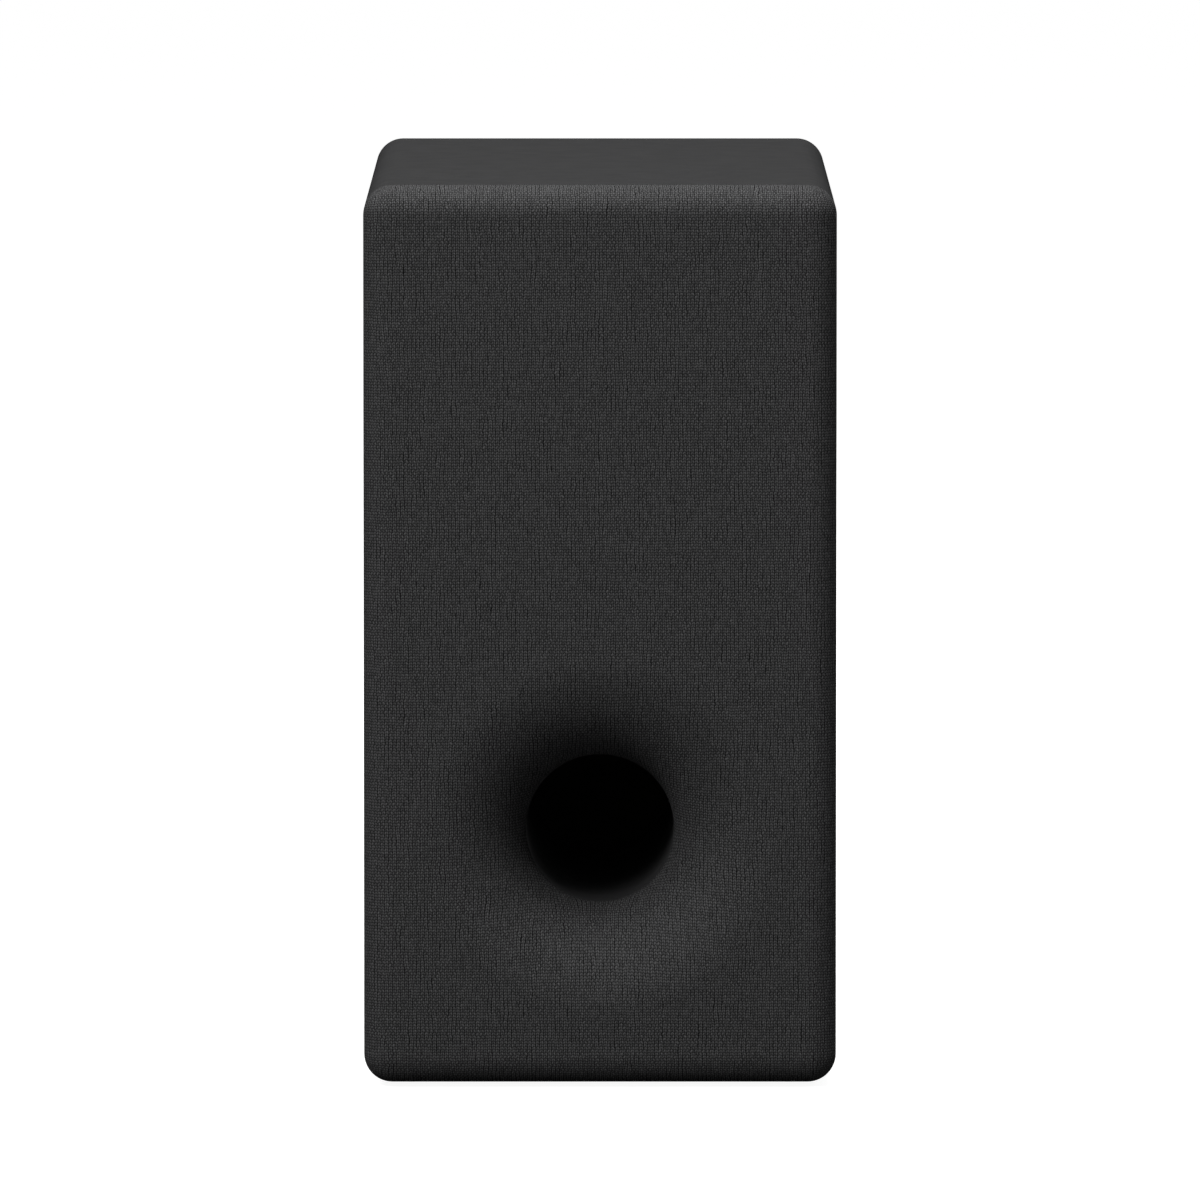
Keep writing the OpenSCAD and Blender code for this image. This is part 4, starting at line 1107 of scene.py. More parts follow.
class SUB_OT_grille(bpy.types.Operator):
    """Finish the grille's frame, the driver's guard and the rubber sockets"""
    bl_idname = "subwoofer.grille"
    bl_label = "Grille"

    def execute(self, context):
        hardware = settings().hardware
        dress(moulded("grille_plastic", hardware.plastic, 0.5), "grille_frame")
        dress(powder_coat("guard_steel", hardware.black_steel), "driver_guard")
        peg_low, peg_high = corners("grille_sockets")
        lip, grip, lip_h, deep, bore, barbs = 6.8, 5.0, 0.8, 10.0, 2.75, 4
        below_driver = 76.0
        x = peg_high.x - lip
        profile = [(bore, FACE_Y - lip_h), (lip - 0.3, FACE_Y - lip_h), (lip, FACE_Y - lip_h + 0.3),
                   (lip, FACE_Y), (grip, FACE_Y)]
        for k in range(barbs):
            y = FACE_Y + 1.5 + 2 * k
            profile += [(grip - 0.35, y), (grip, y + 0.4), (grip, y + 1.4)]
        tail = FACE_Y + deep
        profile += [(grip - 0.8, tail), (0, tail), (0, tail - 1), (bore, tail - 1)]
        shape = Shape()
        for side in (-1, 1):
            for z in (peg_low.z + lip, DRIVER_Z - below_driver, peg_high.z - lip):
                shape.turned(profile, side * x, z, 32)
        shape.piece("peg_sockets", rubbery("black_rubber", hardware.rubber), ["grille_sockets"],
                    "black_rubber")
        return {"FINISHED"}


# ---- Port ----

def on_baffle(profile):
    """Points of [radius, depth behind the baffle's face] as [radius, y]."""
    return [(r, FACE_Y + d) for r, d in profile]


class SUB_OT_port(bpy.types.Operator):
    """Make the flared duct with its ribs, and its foam seal"""
    bl_idname = "subwoofer.port"
    bl_label = "Port"

    def execute(self, context):
        hardware, cabinet = settings().hardware, settings().cabinet
        inner, wall, tail, ribs, rib_pitch = cabinet.port / MM, 2.5, 14.0, 6, 30
        flange = (DUCT_HIGH.x - DUCT_LOW.x) / 2
        socket = flange - 12.0
        depth = cabinet.flare / MM - (FACE_Y - FRONT_Y) + 0.3
        straight = DUCT_HIGH.y - FACE_Y - tail
        thick = corners("port_seal")[0].y - FACE_Y
        outer = inner + wall
        profile = [(socket, 0.25), (socket + 0.25, 0.0), (flange - 0.5, 0), (flange, 0.5), (flange, thick),
                   (socket + wall, thick), (socket + wall, depth - 0.4), (socket + wall - 0.4, depth),
                   (outer, depth + wall + 2)]
        for k in range(ribs):
            y = depth + rib_pitch * (k + 1)
            profile += [(outer, y), (outer + 0.8, y + 0.4), (outer + 0.8, y + 1.6), (outer, y + 2.0)]
        profile += arc_points(inner + tail, straight, tail - wall, 180, 90, 12)
        profile += arc_points(inner + tail, straight, tail, 90, 180, 16)
        profile += [(inner, depth + 0.4), (inner + 0.4, depth), (socket, depth)]
        # partly painted shade: the duct's black plastic is halved against the other mouldings so that the
        # inside of the port stays dark
        plastic = moulded("duct_plastic", shade(hardware.plastic, 0.5), 0.7, 0.0005)
        Shape().turned(on_baffle(profile), 0, PORT_Z, 128).piece(
            "flared_duct", plastic, ["port_duct"], "duct_plastic")
        dress(rubbery("black_foam", shade(hardware.rubber, 0.9), 0.92, 1.8), "port_seal", "driver_gasket",
              "amp_gasket")
        return {"FINISHED"}


# ---- Driver ----

class SUB_OT_driver(bpy.types.Operator):
    """Make the driver's basket, magnet and plates"""
    bl_idname = "subwoofer.driver"
    bl_label = "Driver Frame"

    def execute(self, context):
        hardware = settings().hardware
        dress(powder_coat("basket_steel", hardware.black_steel, 0.45, 0.0014, 0.00003), "driver_basket")
        dress(fibreboard("tag_board", (0.24, 0.11, 0.045), 0.55), "terminal_strip")
        self.trim_ring(hardware)
        self.motor(hardware)
        return {"FINISHED"}

    def trim_ring(self, hardware):
        low, high = corners("driver_trim_ring")
        outer = (high.x - low.x) / 2
        inner, front, back = outer - 5.2, low.y, high.y
        ease = 0.9
        profile = [(inner, back), (outer, back), *arc_points(outer - ease, front + ease, ease, 0, -90, 6)]
        profile += [(outer - 2.2, front), (outer - 2.6, front + 0.35), (outer - 3.0, front)]
        profile += arc_points(inner + ease, front + ease, ease, -90, -180, 6)
        Shape().turned(profile, 0, DRIVER_Z, 128).piece(
            "trim_ring", rubbery("black_rubber", hardware.rubber), ["driver_trim_ring"], "black_rubber")

    def motor(self, hardware):
        steel = turned_metal("plated_steel", hardware.steel, 0.0, DRIVER_Z * MM)
        ferrite = ceramic("ferrite", (0.045, 0.045, 0.047))
        for node, bore, material, slot in (("top_plate", 17.9, steel, "plated_steel"),
                                           ("magnet", 24.0, ferrite, "ferrite")):
            low, high = corners(node)
            outer, ease = (high.x - low.x) / 2, 0.7
            profile = [(bore, low.y + ease), (bore + ease, low.y), (outer - ease, low.y),
                       (outer, low.y + ease), (outer, high.y - ease), (outer - ease, high.y),
                       (bore + ease, high.y), (bore, high.y - ease)]
            Shape().turned(profile, 0, DRIVER_Z).piece(node + "_ring", material, [node], slot)
        low, high = corners("yoke")
        base, outer = corners("magnet")[1].y, (high.x - low.x) / 2
        pole, vent = 15.1, 5.0
        profile = [(vent, low.y + 1.5), (vent + 1.5, low.y), (pole - 0.5, low.y), (pole, low.y + 0.5),
                   (pole, base - 1.2), (pole + 1.2, base), (outer - 0.5, base), (outer, base + 0.5),
                   (outer, high.y - 1), (outer - 1, high.y), (vent + 3, high.y), (vent, high.y - 3)]
        Shape().turned(profile, 0, DRIVER_Z).piece("vented_yoke", steel, ["yoke"], "plated_steel")


def radial_blend(made):
    """Bakes the ring's placing into its points."""
    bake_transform(made)


class SUB_OT_diaphragm(bpy.types.Operator):
    """Make the cone, dust cap, voice coil, surround, spider and tinsel leads"""
    bl_idname = "subwoofer.diaphragm"
    bl_label = "Diaphragm"

    flange_d, lip_t = -4.0, 0.8
    roll_r, roll_mid = 6.0, 64.0
    cone_lip, cone_r, neck, cone_h = 58.5, 54.5, 16.2, 23.0
    former, coil_turns, wire = 16.15, 26, 0.25

    def execute(self, context):
        hardware = settings().hardware
        self.cone()
        self.coil(hardware)
        self.surround(hardware)
        self.spider()
        self.tinsel()
        return {"FINISHED"}

    def cone_depth(self, r):
        return self.flange_d + self.cone_h * (self.cone_r - r) / (self.cone_r - self.neck)

    def cone(self):
        paper, ribs, steps = 1.0, 5, 60
        front, back = [], []
        for i in range(steps + 1):
            r = self.neck + (self.cone_r - self.neck) * i / steps
            rib = 0.28 * max(0.0, math.sin(2 * math.pi * ribs * i / steps)) ** 2
            front.append((r, self.cone_depth(r) + rib))
            back.append((r + (0.6 if i == steps else 0), self.cone_depth(r) + 1.4 * paper - 0.4 * i / steps))
        rim = [(self.cone_lip, self.flange_d), (self.cone_lip, self.flange_d + paper)]
        profile = front + rim + back[::-1]
        Shape().turned(on_baffle(profile), 0, DRIVER_Z, 128).piece(
            "paper_cone", papery("cone_paper", (0.03, 0.03, 0.032), 0.0, DRIVER_Z * MM), ["cone"],
            "cone_paper", "cone_assembly")
        cap_r, cap_h, cap_t = self.former + 6, 9.0, 0.7
        rim = self.cone_depth(cap_r) - cap_t - 0.05
        dome = [(cap_r * u, rim - cap_h * (1 - u ** 2)) for u in (i / 24 for i in range(25))]
        profile = dome + [(r, d + cap_t) for r, d in dome[::-1]]
        Shape().turned(on_baffle(profile), 0, DRIVER_Z, 96).piece(
            "dome_cap", papery("cap_paper", (0.02, 0.02, 0.021), 0.0, DRIVER_Z * MM), ["dust_cap"],
            "cap_paper", "cone_assembly")

    def coil(self, hardware):
        low, high = corners("voice_coil_former")
        inside = self.former - 0.3
        profile = [(inside, low.y), (self.former, low.y), (self.former, high.y), (inside, high.y)]
        Shape().turned(profile, 0, DRIVER_Z, 96).piece(
            "film_former", filmy("former_film", (0.42, 0.20, 0.05)), ["voice_coil_former"], "former_film",
            "cone_assembly")
        low, high = corners("voice_coil")
        pitch = (high.y - low.y) / self.coil_turns
        ring = Shape()
        for layer in (0, 1):
            r = self.former + self.wire + 2 * self.wire * layer * 0.9
            wire = [(r + self.wire * math.cos(a), self.wire * math.sin(a)) for a in turns(6)]
            ring.turned(wire, 0, 0, 72)
        places = [(0, low.y + pitch * (i + 0.5), DRIVER_Z) for i in range(self.coil_turns)]
        made = scattered("wound_coil", ring, places, enamelled("copper_wire", hardware.copper), crease=80)
        riding(made, "cone_assembly", ["voice_coil"])

    def surround(self, hardware):
        top = self.flange_d - self.lip_t
        lip = corners("surround")[1].x
        profile = [(self.cone_r, self.flange_d), (self.cone_r, top + 0.2), (self.cone_r + 0.2, top)]
        profile += arc_points(self.roll_mid, top, self.roll_r + 0.4, 180, 360, 32)
        profile += [(lip, top), (lip, self.flange_d)]
        profile += arc_points(self.roll_mid, self.flange_d, self.roll_r - 0.4, 360, 180, 32)
        data = Shape().turned(on_baffle(profile), 0, DRIVER_Z, 128).mesh("rolled_surround")
        made = placed("rolled_surround", data, rubbery("surround_rubber", shade(hardware.rubber, 1.3), 0.6))
        radial_blend(made)
        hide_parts("surround")

    def spider(self):
        centre, thick, swing, waves, steps = 33.3, 0.6, 1.4, 5, 100
        inner, ledge, outer = self.former + 2.6, 40.5, 46.0
        line = [(self.former + 0.1, centre)]
        for i in range(steps + 1):
            u = i / steps
            line.append((inner + (ledge - inner) * u, centre - swing * math.sin(2 * math.pi * waves * u)))
        line.append((outer, centre))
        profile = [(r, d - thick / 2) for r, d in line] + [(r, d + thick / 2) for r, d in line[::-1]]
        data = Shape().turned(on_baffle(profile), 0, DRIVER_Z, 120).mesh("corrugated_spider", 60)
        made = placed("corrugated_spider", data, woven("spider_cloth", (0.52, 0.30, 0.08)))
        radial_blend(made)
        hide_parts("spider")

    def tinsel(self):
        route = [(54, 39.9), (55, 36), (55, 31), (52, 27), (47, 24), (41, 21), (37, 17), (35, 12)]
        shape = Shape()
        for side in (-1, 1):
            path = [(-r, FACE_Y + d, DRIVER_Z + side * 6) for r, d in route]
            shape.tube(smooth_path(path, 40), 0.6, 10)
        made = placed("tinsel_wires", shape.mesh("tinsel_wires", 60),
                      braided("tinsel_braid", (0.62, 0.50, 0.30)))
        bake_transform(made)
        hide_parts("tinsel_leads")


# ---- Amplifier's outside ----

def amp_screw_places():
    low, high = corners("amp_screws")
    x, z = high.x - AMP_HEAD, (high.z - low.z) / 2 - AMP_HEAD
    return [(sx * x, AMP_Z + sz * z) for sx, sz in
            ((-1, -1), (-1, 0), (-1, 1), (0, -1), (0, 1), (1, -1), (1, 0), (1, 1))]


def board_posts():
    """Where the main board is screwed down."""
    x = corners("board_screws")[1].x - BOARD_HEAD
    return [(side * x, z) for side in (-1, 1) for z in (BOARD_LOW.z + POST_INSET, BOARD_HIGH.z - POST_INSET)]


class SUB_OT_panel(bpy.types.Operator):
    """Make the amplifier's panel with its posts, marks, inlet and light pipe"""
    bl_idname = "subwoofer.panel"
    bl_label = "Amplifier Panel"

    def execute(self, context):
        hardware = settings().hardware
        self.plate(hardware)
        self.marks(hardware)
        self.inlet(hardware)
        self.light()
        return {"FINISHED"}

    def plate(self, hardware):
        w, h = PANEL_HIGH.x - PANEL_LOW.x, PANEL_HIGH.z - PANEL_LOW.z
        button, pipe, inlet = middle("power_button"), middle("light_pipe"), middle("ac_inlet_pins")
        clear_r, clear_button, clear_pipe = 2.05, 4.6, 1.55
        sides = (-button.x, button.x)
        holes = [hole(x, z, clear_r) for x, z in amp_screw_places()]
        holes += [hole(x, button.z, clear_button, 48) for x in sides]
        holes += [hole(0, pipe.z, clear_pipe), slab(22.1, 14.1, 7.05, 0, inlet.z, 8)]
        shape = Shape().plate(slab(w, h, 4, 0, AMP_Z, 8), holes, AMP_BACK, AMP_FACE, 0.35)
        ring = [(5.4, -0.1), (5.4, 0.25), (5.7, 0.45), (6.4, 0.45), (6.9, 0.25), (7.0, -0.1)]
        for x in sides:
            shape.turned([(r, AMP_FACE + y) for r, y in ring], x, button.z, 64)
        for x, z in board_posts():
            shape.turned(self.post(1.45, 3.5, BOARD_HIGH.y, AMP_BACK + 0.1), x, z, 32)
        for x in (-CONTROL_POST, CONTROL_POST):
            shape.turned(self.post(1.45, 3.0, corners("tact_switches")[0].y, AMP_BACK + 0.1), x, button.z, 32)
        shape.piece("rear_panel", powder_coat("panel_metal", hardware.plastic, 0.58, 0.0008, 0.00005),
                    ["amp_panel"], "panel_metal")

    def post(self, bore, outer, y0, y1):
        deep = y0 + 8
        return [(bore, y0), (outer - 0.2, y0), (outer, y0 + 0.2), (outer, y1 - 1.2), (outer + 1.2, y1),
                (0, y1), (0, deep), (bore, deep)]

    def marks(self, hardware):
        button, inlet = middle("link_button"), middle("ac_inlet_pins")
        y0, y1, line = AMP_FACE - 0.05, AMP_FACE + 0.08, 0.5
        shape, x, z = Shape(), -button.x, button.z + 13
        shape.ribbon(arc_points(x, z, 2.6, 125, 415, 28), 0.55, y0, y1)
        shape.ribbon([(x, z + 0.3), (x, z + 3.4)], 0.55, y0, y1)
        for r in (1.5, 2.9, 4.3):
            shape.ribbon(arc_points(button.x, z - 1.8, r, 45, 135, 12), line, y0, y1)
        shape.turned([(0, y0), (line, y0), (line, y1), (0, y1)], button.x, z - 1.8, 20)
        wave = [(3.2 * (i / 12 - 1), inlet.z + 16 + 1.1 * math.sin(math.pi * i / 12)) for i in range(25)]
        shape.ribbon(wave, line, y0, y1)
        inner, outer = (bar(92 + s * 0.35, 26 + s * 0.35, 3 + s * 0.17, 0, AMP_Z + 12, 6) for s in (-1, 1))
        shape.loft([level(inner, y0), level(outer, y0), level(outer, y1), level(inner, y1)], ring=True)
        shape.piece("panel_marks", filmy("mark_ink", hardware.mark, 0.5))

    def inlet(self, hardware):
        low, high = corners("ac_inlet")
        pins_low, pins_high = corners("ac_inlet_pins")
        z, floor = (pins_low.z + pins_high.z) / 2, pins_low.y
        w, h = high.x - low.x, high.z - low.z
        tracks = ((18, 10, 5, floor), (18.8, 10.8, 5.4, floor + 0.3), (19, 11, 5.5, floor + 0.8),
                  (19, 11, 5.5, AMP_FACE - 0.5), (19.8, 11.8, 5.9, AMP_FACE), (21.4, 13.4, 6.7, AMP_FACE),
                  (22, 14, 7, AMP_FACE - 0.3), (22, 14, 7, AMP_BACK), (w - 0.6, h - 0.6, 0.7, AMP_BACK),
                  (w, h, 1, AMP_BACK - 0.3), (w, h, 1, low.y + 0.3), (w - 0.6, h - 0.6, 0.7, low.y))
        Shape().loft([level(bar(wide, tall, r, 0, z, 8), y) for wide, tall, r, y in tracks]).piece(
            "mains_socket", moulded("inlet_plastic", shade(hardware.plastic, 0.8), 0.32, 0.0009),
            ["ac_inlet"], "inlet_plastic")
        shape, r = Shape(), (pins_high.z - pins_low.z) / 2
        tip = pins_high.y
        for x in (pins_low.x + r, pins_high.x - r):
            shape.turned([(0, floor), (r, floor), *arc_points(0, tip - r, r, 0, 90, 6)], x, z, 32)
        shape.piece("mains_pins", metallic("nickel_pin", (0.66, 0.63, 0.57), 0.2), ["ac_inlet_pins"],
                    "nickel_pin")

    def light(self):
        low, high = corners("light_pipe")
        lens, flange, r, crown = middle("light_pipe"), 2.5, 1.5, 0.25
        profile = [(0, low.y), (r - 0.1, low.y), (r, low.y + 0.1), (r, AMP_BACK - 2), (flange, AMP_BACK - 2),
                   (flange, AMP_BACK), (r, AMP_BACK), (r, high.y - crown)]
        profile += [(r * u, high.y - crown + crown * v) for u, v in arc_points(0, 0, 1, 0, 90, 6)]
        Shape().turned(profile, lens.x, lens.z, 40).piece(
            "clear_pipe_lens", clear("clear_pipe", (0.85, 0.88, 0.90), 0.35), ["light_pipe"], "clear_pipe")
        low, high = corners("status_led")
        spot = (low + high) / 2
        shape = Shape().block(spot.x, spot.z, high.x - low.x, high.z - low.z, low.y, high.y - 0.2, 0.1, 0.08)
        dome = [(0, 0.25), (0.6, 0.25), (0.55, 0.1), (0.3, 0), (0, 0)]
        shape.turned([(r, high.y - drop) for r, drop in dome], spot.x, spot.z, 24)
        shape.piece("light_emitter", moulded("led_lens", (0.78, 0.76, 0.62), 0.35), ["status_led"],
                    "led_lens")


class SUB_OT_buttons(bpy.types.Operator):
    """Make the two push buttons with their switches' plungers"""
    bl_idname = "subwoofer.buttons"
    bl_label = "Buttons"

    def execute(self, context):
        hardware = settings().hardware
        cap = moulded("button_plastic", shade(hardware.plastic, 1.9), 0.42, 0.0005)
        for name in ("power", "link"):
            node = name + "_button"
            low, high = corners(node)
            spot, lip = (low + high) / 2, (high.x - low.x) / 2
            r, stem, dish, ease = lip - 1.5, 1.8, 0.35, 0.5
            lip_y, back = AMP_BACK - 0.05, AMP_BACK - 1.15
            profile = [(0, low.y), (stem - 0.2, low.y), (stem, low.y + 0.2), (stem, back - 0.4),
                       (stem + 0.4, back), (lip, back), (lip, lip_y), (r, lip_y), (r, high.y - ease)]
            profile += arc_points(r - ease, high.y - ease, ease, 0, 90, 5)
            profile += [((r - 0.8) * i / 8, high.y - dish * (1 - (i / 8) ** 2)) for i in range(8, -1, -1)]
            Shape().turned(profile, spot.x, spot.z, 64).piece(
                node + "_cap", cap, [node], "button_plastic", node)
            plunger = name + "_switch_plunger"
            low, high = corners(plunger)
            r = (high.x - low.x) / 2
            profile = [(0, low.y), (r, low.y), (r, high.y - 0.3), (r - 0.3, high.y), (0, high.y)]
            Shape().turned(profile, spot.x, spot.z, 32).piece(
                name + "_plunger_pin", moulded("plunger_plastic", (0.58, 0.57, 0.52), 0.4), [plunger],
                "plunger_plastic", name + "_plunger")
        return {"FINISHED"}


# ---- Electronics ----

class SUB_OT_electronics(bpy.types.Operator):
    """Make the tub, the boards and the parts on them"""
    bl_idname = "subwoofer.electronics"
    bl_label = "Electronics"

    def execute(self, context):
        hardware = settings().hardware
        self.tub(hardware)
        self.boards(hardware)
        self.heatsink()
        self.transformer()
        self.capacitors()
        self.inductors(hardware)
        self.wireless()
        self.switches()
        self.small_parts(hardware)
        return {"FINISHED"}

    def tub(self, hardware):
        low, high, grommet = HOUSING_LOW, HOUSING_HIGH, middle("cable_grommet")
        w, h = high.x - low.x, high.z - low.z
        wall, corner, ease, bore, sides, rib_pitch = 2.5, 3.0, 1.6, 8.0, 48, 12
        floor = low.y + wall

        def outline(inset, r, y):
            return level(bar(w - 2 * inset, h - 2 * inset, r, 0, AMP_Z, 6), y)

        loops = [outline(wall, 1.0, floor), outline(wall, 1.0, high.y), outline(0, corner, high.y)]
        loops += [outline(d, corner - d, y) for y, d in eased(low.y, high.y, ease)[3::-1]]
        shape = Shape().loft(loops, caps=False)
        outer_start = (len(loops) - 1) * len(loops[0])
        for start, loop, y in ((0, loops[0], floor), (outer_start, loops[-1], low.y)):
            ring, ring_start = circle(grommet.x, y, grommet.z, bore, sides), len(shape.points)
            shape.points.extend(ring)
            index = [*range(start, start + len(loop)), *range(ring_start, ring_start + sides)]
            for face in tessellate_polygon([[Vector(p) for p in loop], [Vector(p) for p in ring]]):
                shape.faces.append(tuple(index[k] for k in face))
        a = len(shape.points) - 2 * sides
        b = a + sides
        shape.faces.extend((a + k, a + (k + 1) % sides, b + (k + 1) % sides, b + k) for k in range(sides))
        for k in range(-4, 5):
            if abs(k * rib_pitch - grommet.x) > rib_pitch:
                shape.block(k * rib_pitch, AMP_Z, 1.6, h - 30, low.y, low.y + 0.2, 0.3, 0.05)
        shape.piece("amp_tub", moulded("housing_plastic", shade(hardware.plastic, 1.6), 0.5, 0.0008),
                    ["amp_housing"], "housing_plastic")
        y0, y1, lip = corners("cable_grommet")[0].y, corners("cable_grommet")[1].y, 10.5
        half = [(0, 0.4), (5.6, 0.4), (6.2, 0), (lip - 0.5, 0), (lip, 0.5), (lip, 1.5), (bore, 1.5)]
        profile = [(r, y0 + y) for r, y in half] + [(r, y1 - y) for r, y in half[::-1]]
        Shape().turned(profile, grommet.x, grommet.z, 48).piece(
            "lead_grommet", rubbery("black_rubber", hardware.rubber), ["cable_grommet"], "black_rubber")

    def boards(self, hardware):
        mask = solder_mask("circuit_board", hardware.board)
        low, high, screw_r = BOARD_LOW, BOARD_HIGH, 1.6
        w, h, z = high.x - low.x, high.z - low.z, (low.z + high.z) / 2
        back = high.y - BOARD_T
        holes = [hole(x, post_z, screw_r) for x, post_z in board_posts()]
        shape = Shape().plate(slab(w, h, 1.5, 0, z), holes, back, high.y, 0.08)
        grommet = middle("cable_grommet")
        shape.block(grommet.x, grommet.z, 12, 9, back - 8, back, 0.5, 0.4)
        shape.piece("main_circuit", mask, ["main_board"], "circuit_board")
        low, high, light = CONTROL_LOW, CONTROL_HIGH, middle("status_led")
        holes = [hole(x, light.z, screw_r) for x in (-CONTROL_POST, CONTROL_POST)]
        shape = Shape().plate(slab(64, 18, 1.2, 0, light.z), holes, high.y - BOARD_T, high.y, 0.08)
        shape.block(0, BOARD_HIGH.z - 3, 20, 4, low.y, high.y - BOARD_T, 0.2, 0.1)
        shape.piece("control_circuit", mask, ["control_board"], "circuit_board")

    def heatsink(self):
        low, high = corners("heatsink")
        spot, w, h = (low + high) / 2, high.x - low.x, high.z - low.z
        base, fin, count = 4.0, 1.6, 9
        metal = metallic("sink_aluminium", (0.58, 0.58, 0.60), 0.36, (1, 0.08, 1))
        plate = Shape().block(spot.x, spot.z, w, h, high.y - base, high.y, 0.5, 0.3)
        plate.piece("sink_base", metal, ["heatsink"], "sink_aluminium")
        tall = high.y - base - low.y
        taper = ((0.2, 1.0), (-0.7 * tall, 0.8), (-tall + 0.4, 0.72), (-tall, 0.4))
        blade = Shape().loft([level(bar(fin * share_left, h, 0.3, 0, 0, 3), y) for y, share_left in taper])
        pitch = (w - fin) / (count - 1)
        places = [(spot.x + (i - (count - 1) / 2) * pitch, high.y - base, spot.z) for i in range(count)]
        riding(scattered("sink_fins", blade, places, metal), "cabinet")

    def transformer(self):
        low, high = corners("power_transformer")
        spot = (low + high) / 2
        tape = filmy("transformer_tape", (0.58, 0.42, 0.07))
        core = ceramic("core_ferrite", (0.055, 0.052, 0.05))
        shape = Shape()
        for y0, y1 in ((low.y, low.y + 12.9), (low.y + 13.1, high.y - 2)):
            shape.block(spot.x, spot.z, 30, 12, y0, y1, 0.8, 0.5)
        shape.piece("transformer_core", core, slot="ferrite")
        shape = Shape().block(spot.x, spot.z, 22, 32, low.y + 2.2, high.y - 2.4, 3.0, 1.4)
        shape.block(spot.x, spot.z, 22, 31, high.y - 2.4, high.y, 0.8, 0.2)
        for k in range(-2, 3):
            for s in (-1, 1):
                shape.block(spot.x + 4 * k, spot.z + 14 * s, 0.9, 0.9, high.y - 0.6, high.y + 2.2, 0.3, 0.2)
        shape.piece("transformer_winding", tape, ["power_transformer"], "transformer_tape")

    def capacitors(self):
        low, high = corners("bulk_capacitors")
        r, z = (high.z - low.z) / 2, (low.z + high.z) / 2
        pitch = (high.x - low.x - 2 * r) / 2
        shape = Shape()
        top, foot = low.y, high.y
        profile = [(0, foot), (r - 0.8, foot), (r, foot - 0.8), (r, foot - 3.0), (r - 0.7, foot - 3.6),
                   (r - 0.7, foot - 4.2), (r, foot - 4.8), (r, top + 0.9), (r - 0.3, top + 0.3),
                   (r - 1.0, top), (r - 1.8, top + 0.35), (0.45 * r, top + 0.35), (0.4 * r, top + 0.6),
                   (0, top + 0.6)]
        for i in range(3):
            shape.turned(profile, low.x + r + pitch * i, z, 48)
        sleeve = sleeved("capacitor_sleeve", (0.02, 0.025, 0.06), (0.5, 0.5, 0.52), (low.x + r) * MM,
                         pitch * MM)
        shape.piece("can_capacitors", sleeve, ["bulk_capacitors"], "capacitor_sleeve")

    def inductors(self, hardware):
        low, high = corners("output_inductors")
        r, bore = (high.x - low.x) / 2, 4.5
        x, wire, count = (low.x + high.x) / 2, 0.5, 20
        centres = [(x, high.z - r), (x, low.z + r)]
        core = Shape()
        y0, y1 = low.y + 2 * wire, high.y - 2 * wire
        inner, outer = bore + 2 * wire, r - 2 * wire
        ease = 0.6
        profile = [(inner, y0 + ease), (inner + ease, y0), (outer - ease, y0), (outer, y0 + ease),
                   (outer, y1 - ease), (outer - ease, y1), (inner + ease, y1), (inner, y1 - ease)]
        for cx, cz in centres:
            core.turned(profile, cx, cz, 48)
        core.piece("ring_cores", moulded("core_coat", (0.12, 0.22, 0.10), 0.4, 0.0008), slot="ferrite")
        mid_y, tall = (low.y + high.y) / 2, (y1 - y0) / 2 + wire
        wide, mid_r = (outer - inner) / 2 + wire, (inner + outer) / 2
        loop = [(mid_r + px, py, 0) for px, py in bar(2 * wide, 2 * tall, 1.0, 0, 0, 4)]
        turn = Shape().tube(loop, wire, 8, closed=True)
        places, angles = [], []
        for cx, cz in centres:
            places += [(cx, mid_y, cz)] * count
            angles += [math.radians(20 + 320 * i / (count - 1)) for i in range(count)]
        made = scattered("ring_windings", turn, places, enamelled("toroid_copper", hardware.copper),
                         crease=80, turned=angles)
        riding(made, "cabinet", ["output_inductors"])

    def wireless(self):
        low, high = corners("wireless_module")
        x, z, w = (low.x + high.x) / 2, (low.z + high.z) / 2, high.x - low.x
        shape = Shape().block(x, z, w, 18, high.y - 1, high.y, 0.3, 0.1)
        shape.piece("radio_board", solder_mask("radio_mask", (0.01, 0.03, 0.09)), slot="circuit_board")
        can = Shape().block(x - 2, z, 22, 15, low.y, high.y - 1, 0.8, 0.45)
        vent = [(0, low.y), (0.7, low.y), (0.5, low.y + 0.3), (0, low.y + 0.3)]
        for k in range(4):
            can.turned(vent, x - 8 + 4 * k, z + 4, 16)
        can.piece("radio_shield", metallic("shield_can", (0.60, 0.60, 0.58), 0.3, (1, 1, 0.1)),
                  ["wireless_module"], "shield_can")
        points, run, reach = [], 2.2, 3.8
        for k in range(6):
            side = x + w / 2 - 5.2 + (reach if k % 2 else 0)
            points += [(side, z - 6 + run * k), (side, z - 6 + run * (k + 1))]
        Shape().ribbon(points, 0.5, high.y - 1.06, high.y - 0.98).piece(
            "radio_antenna", metallic("antenna_gold", (0.70, 0.48, 0.18), 0.3), slot="circuit_board")

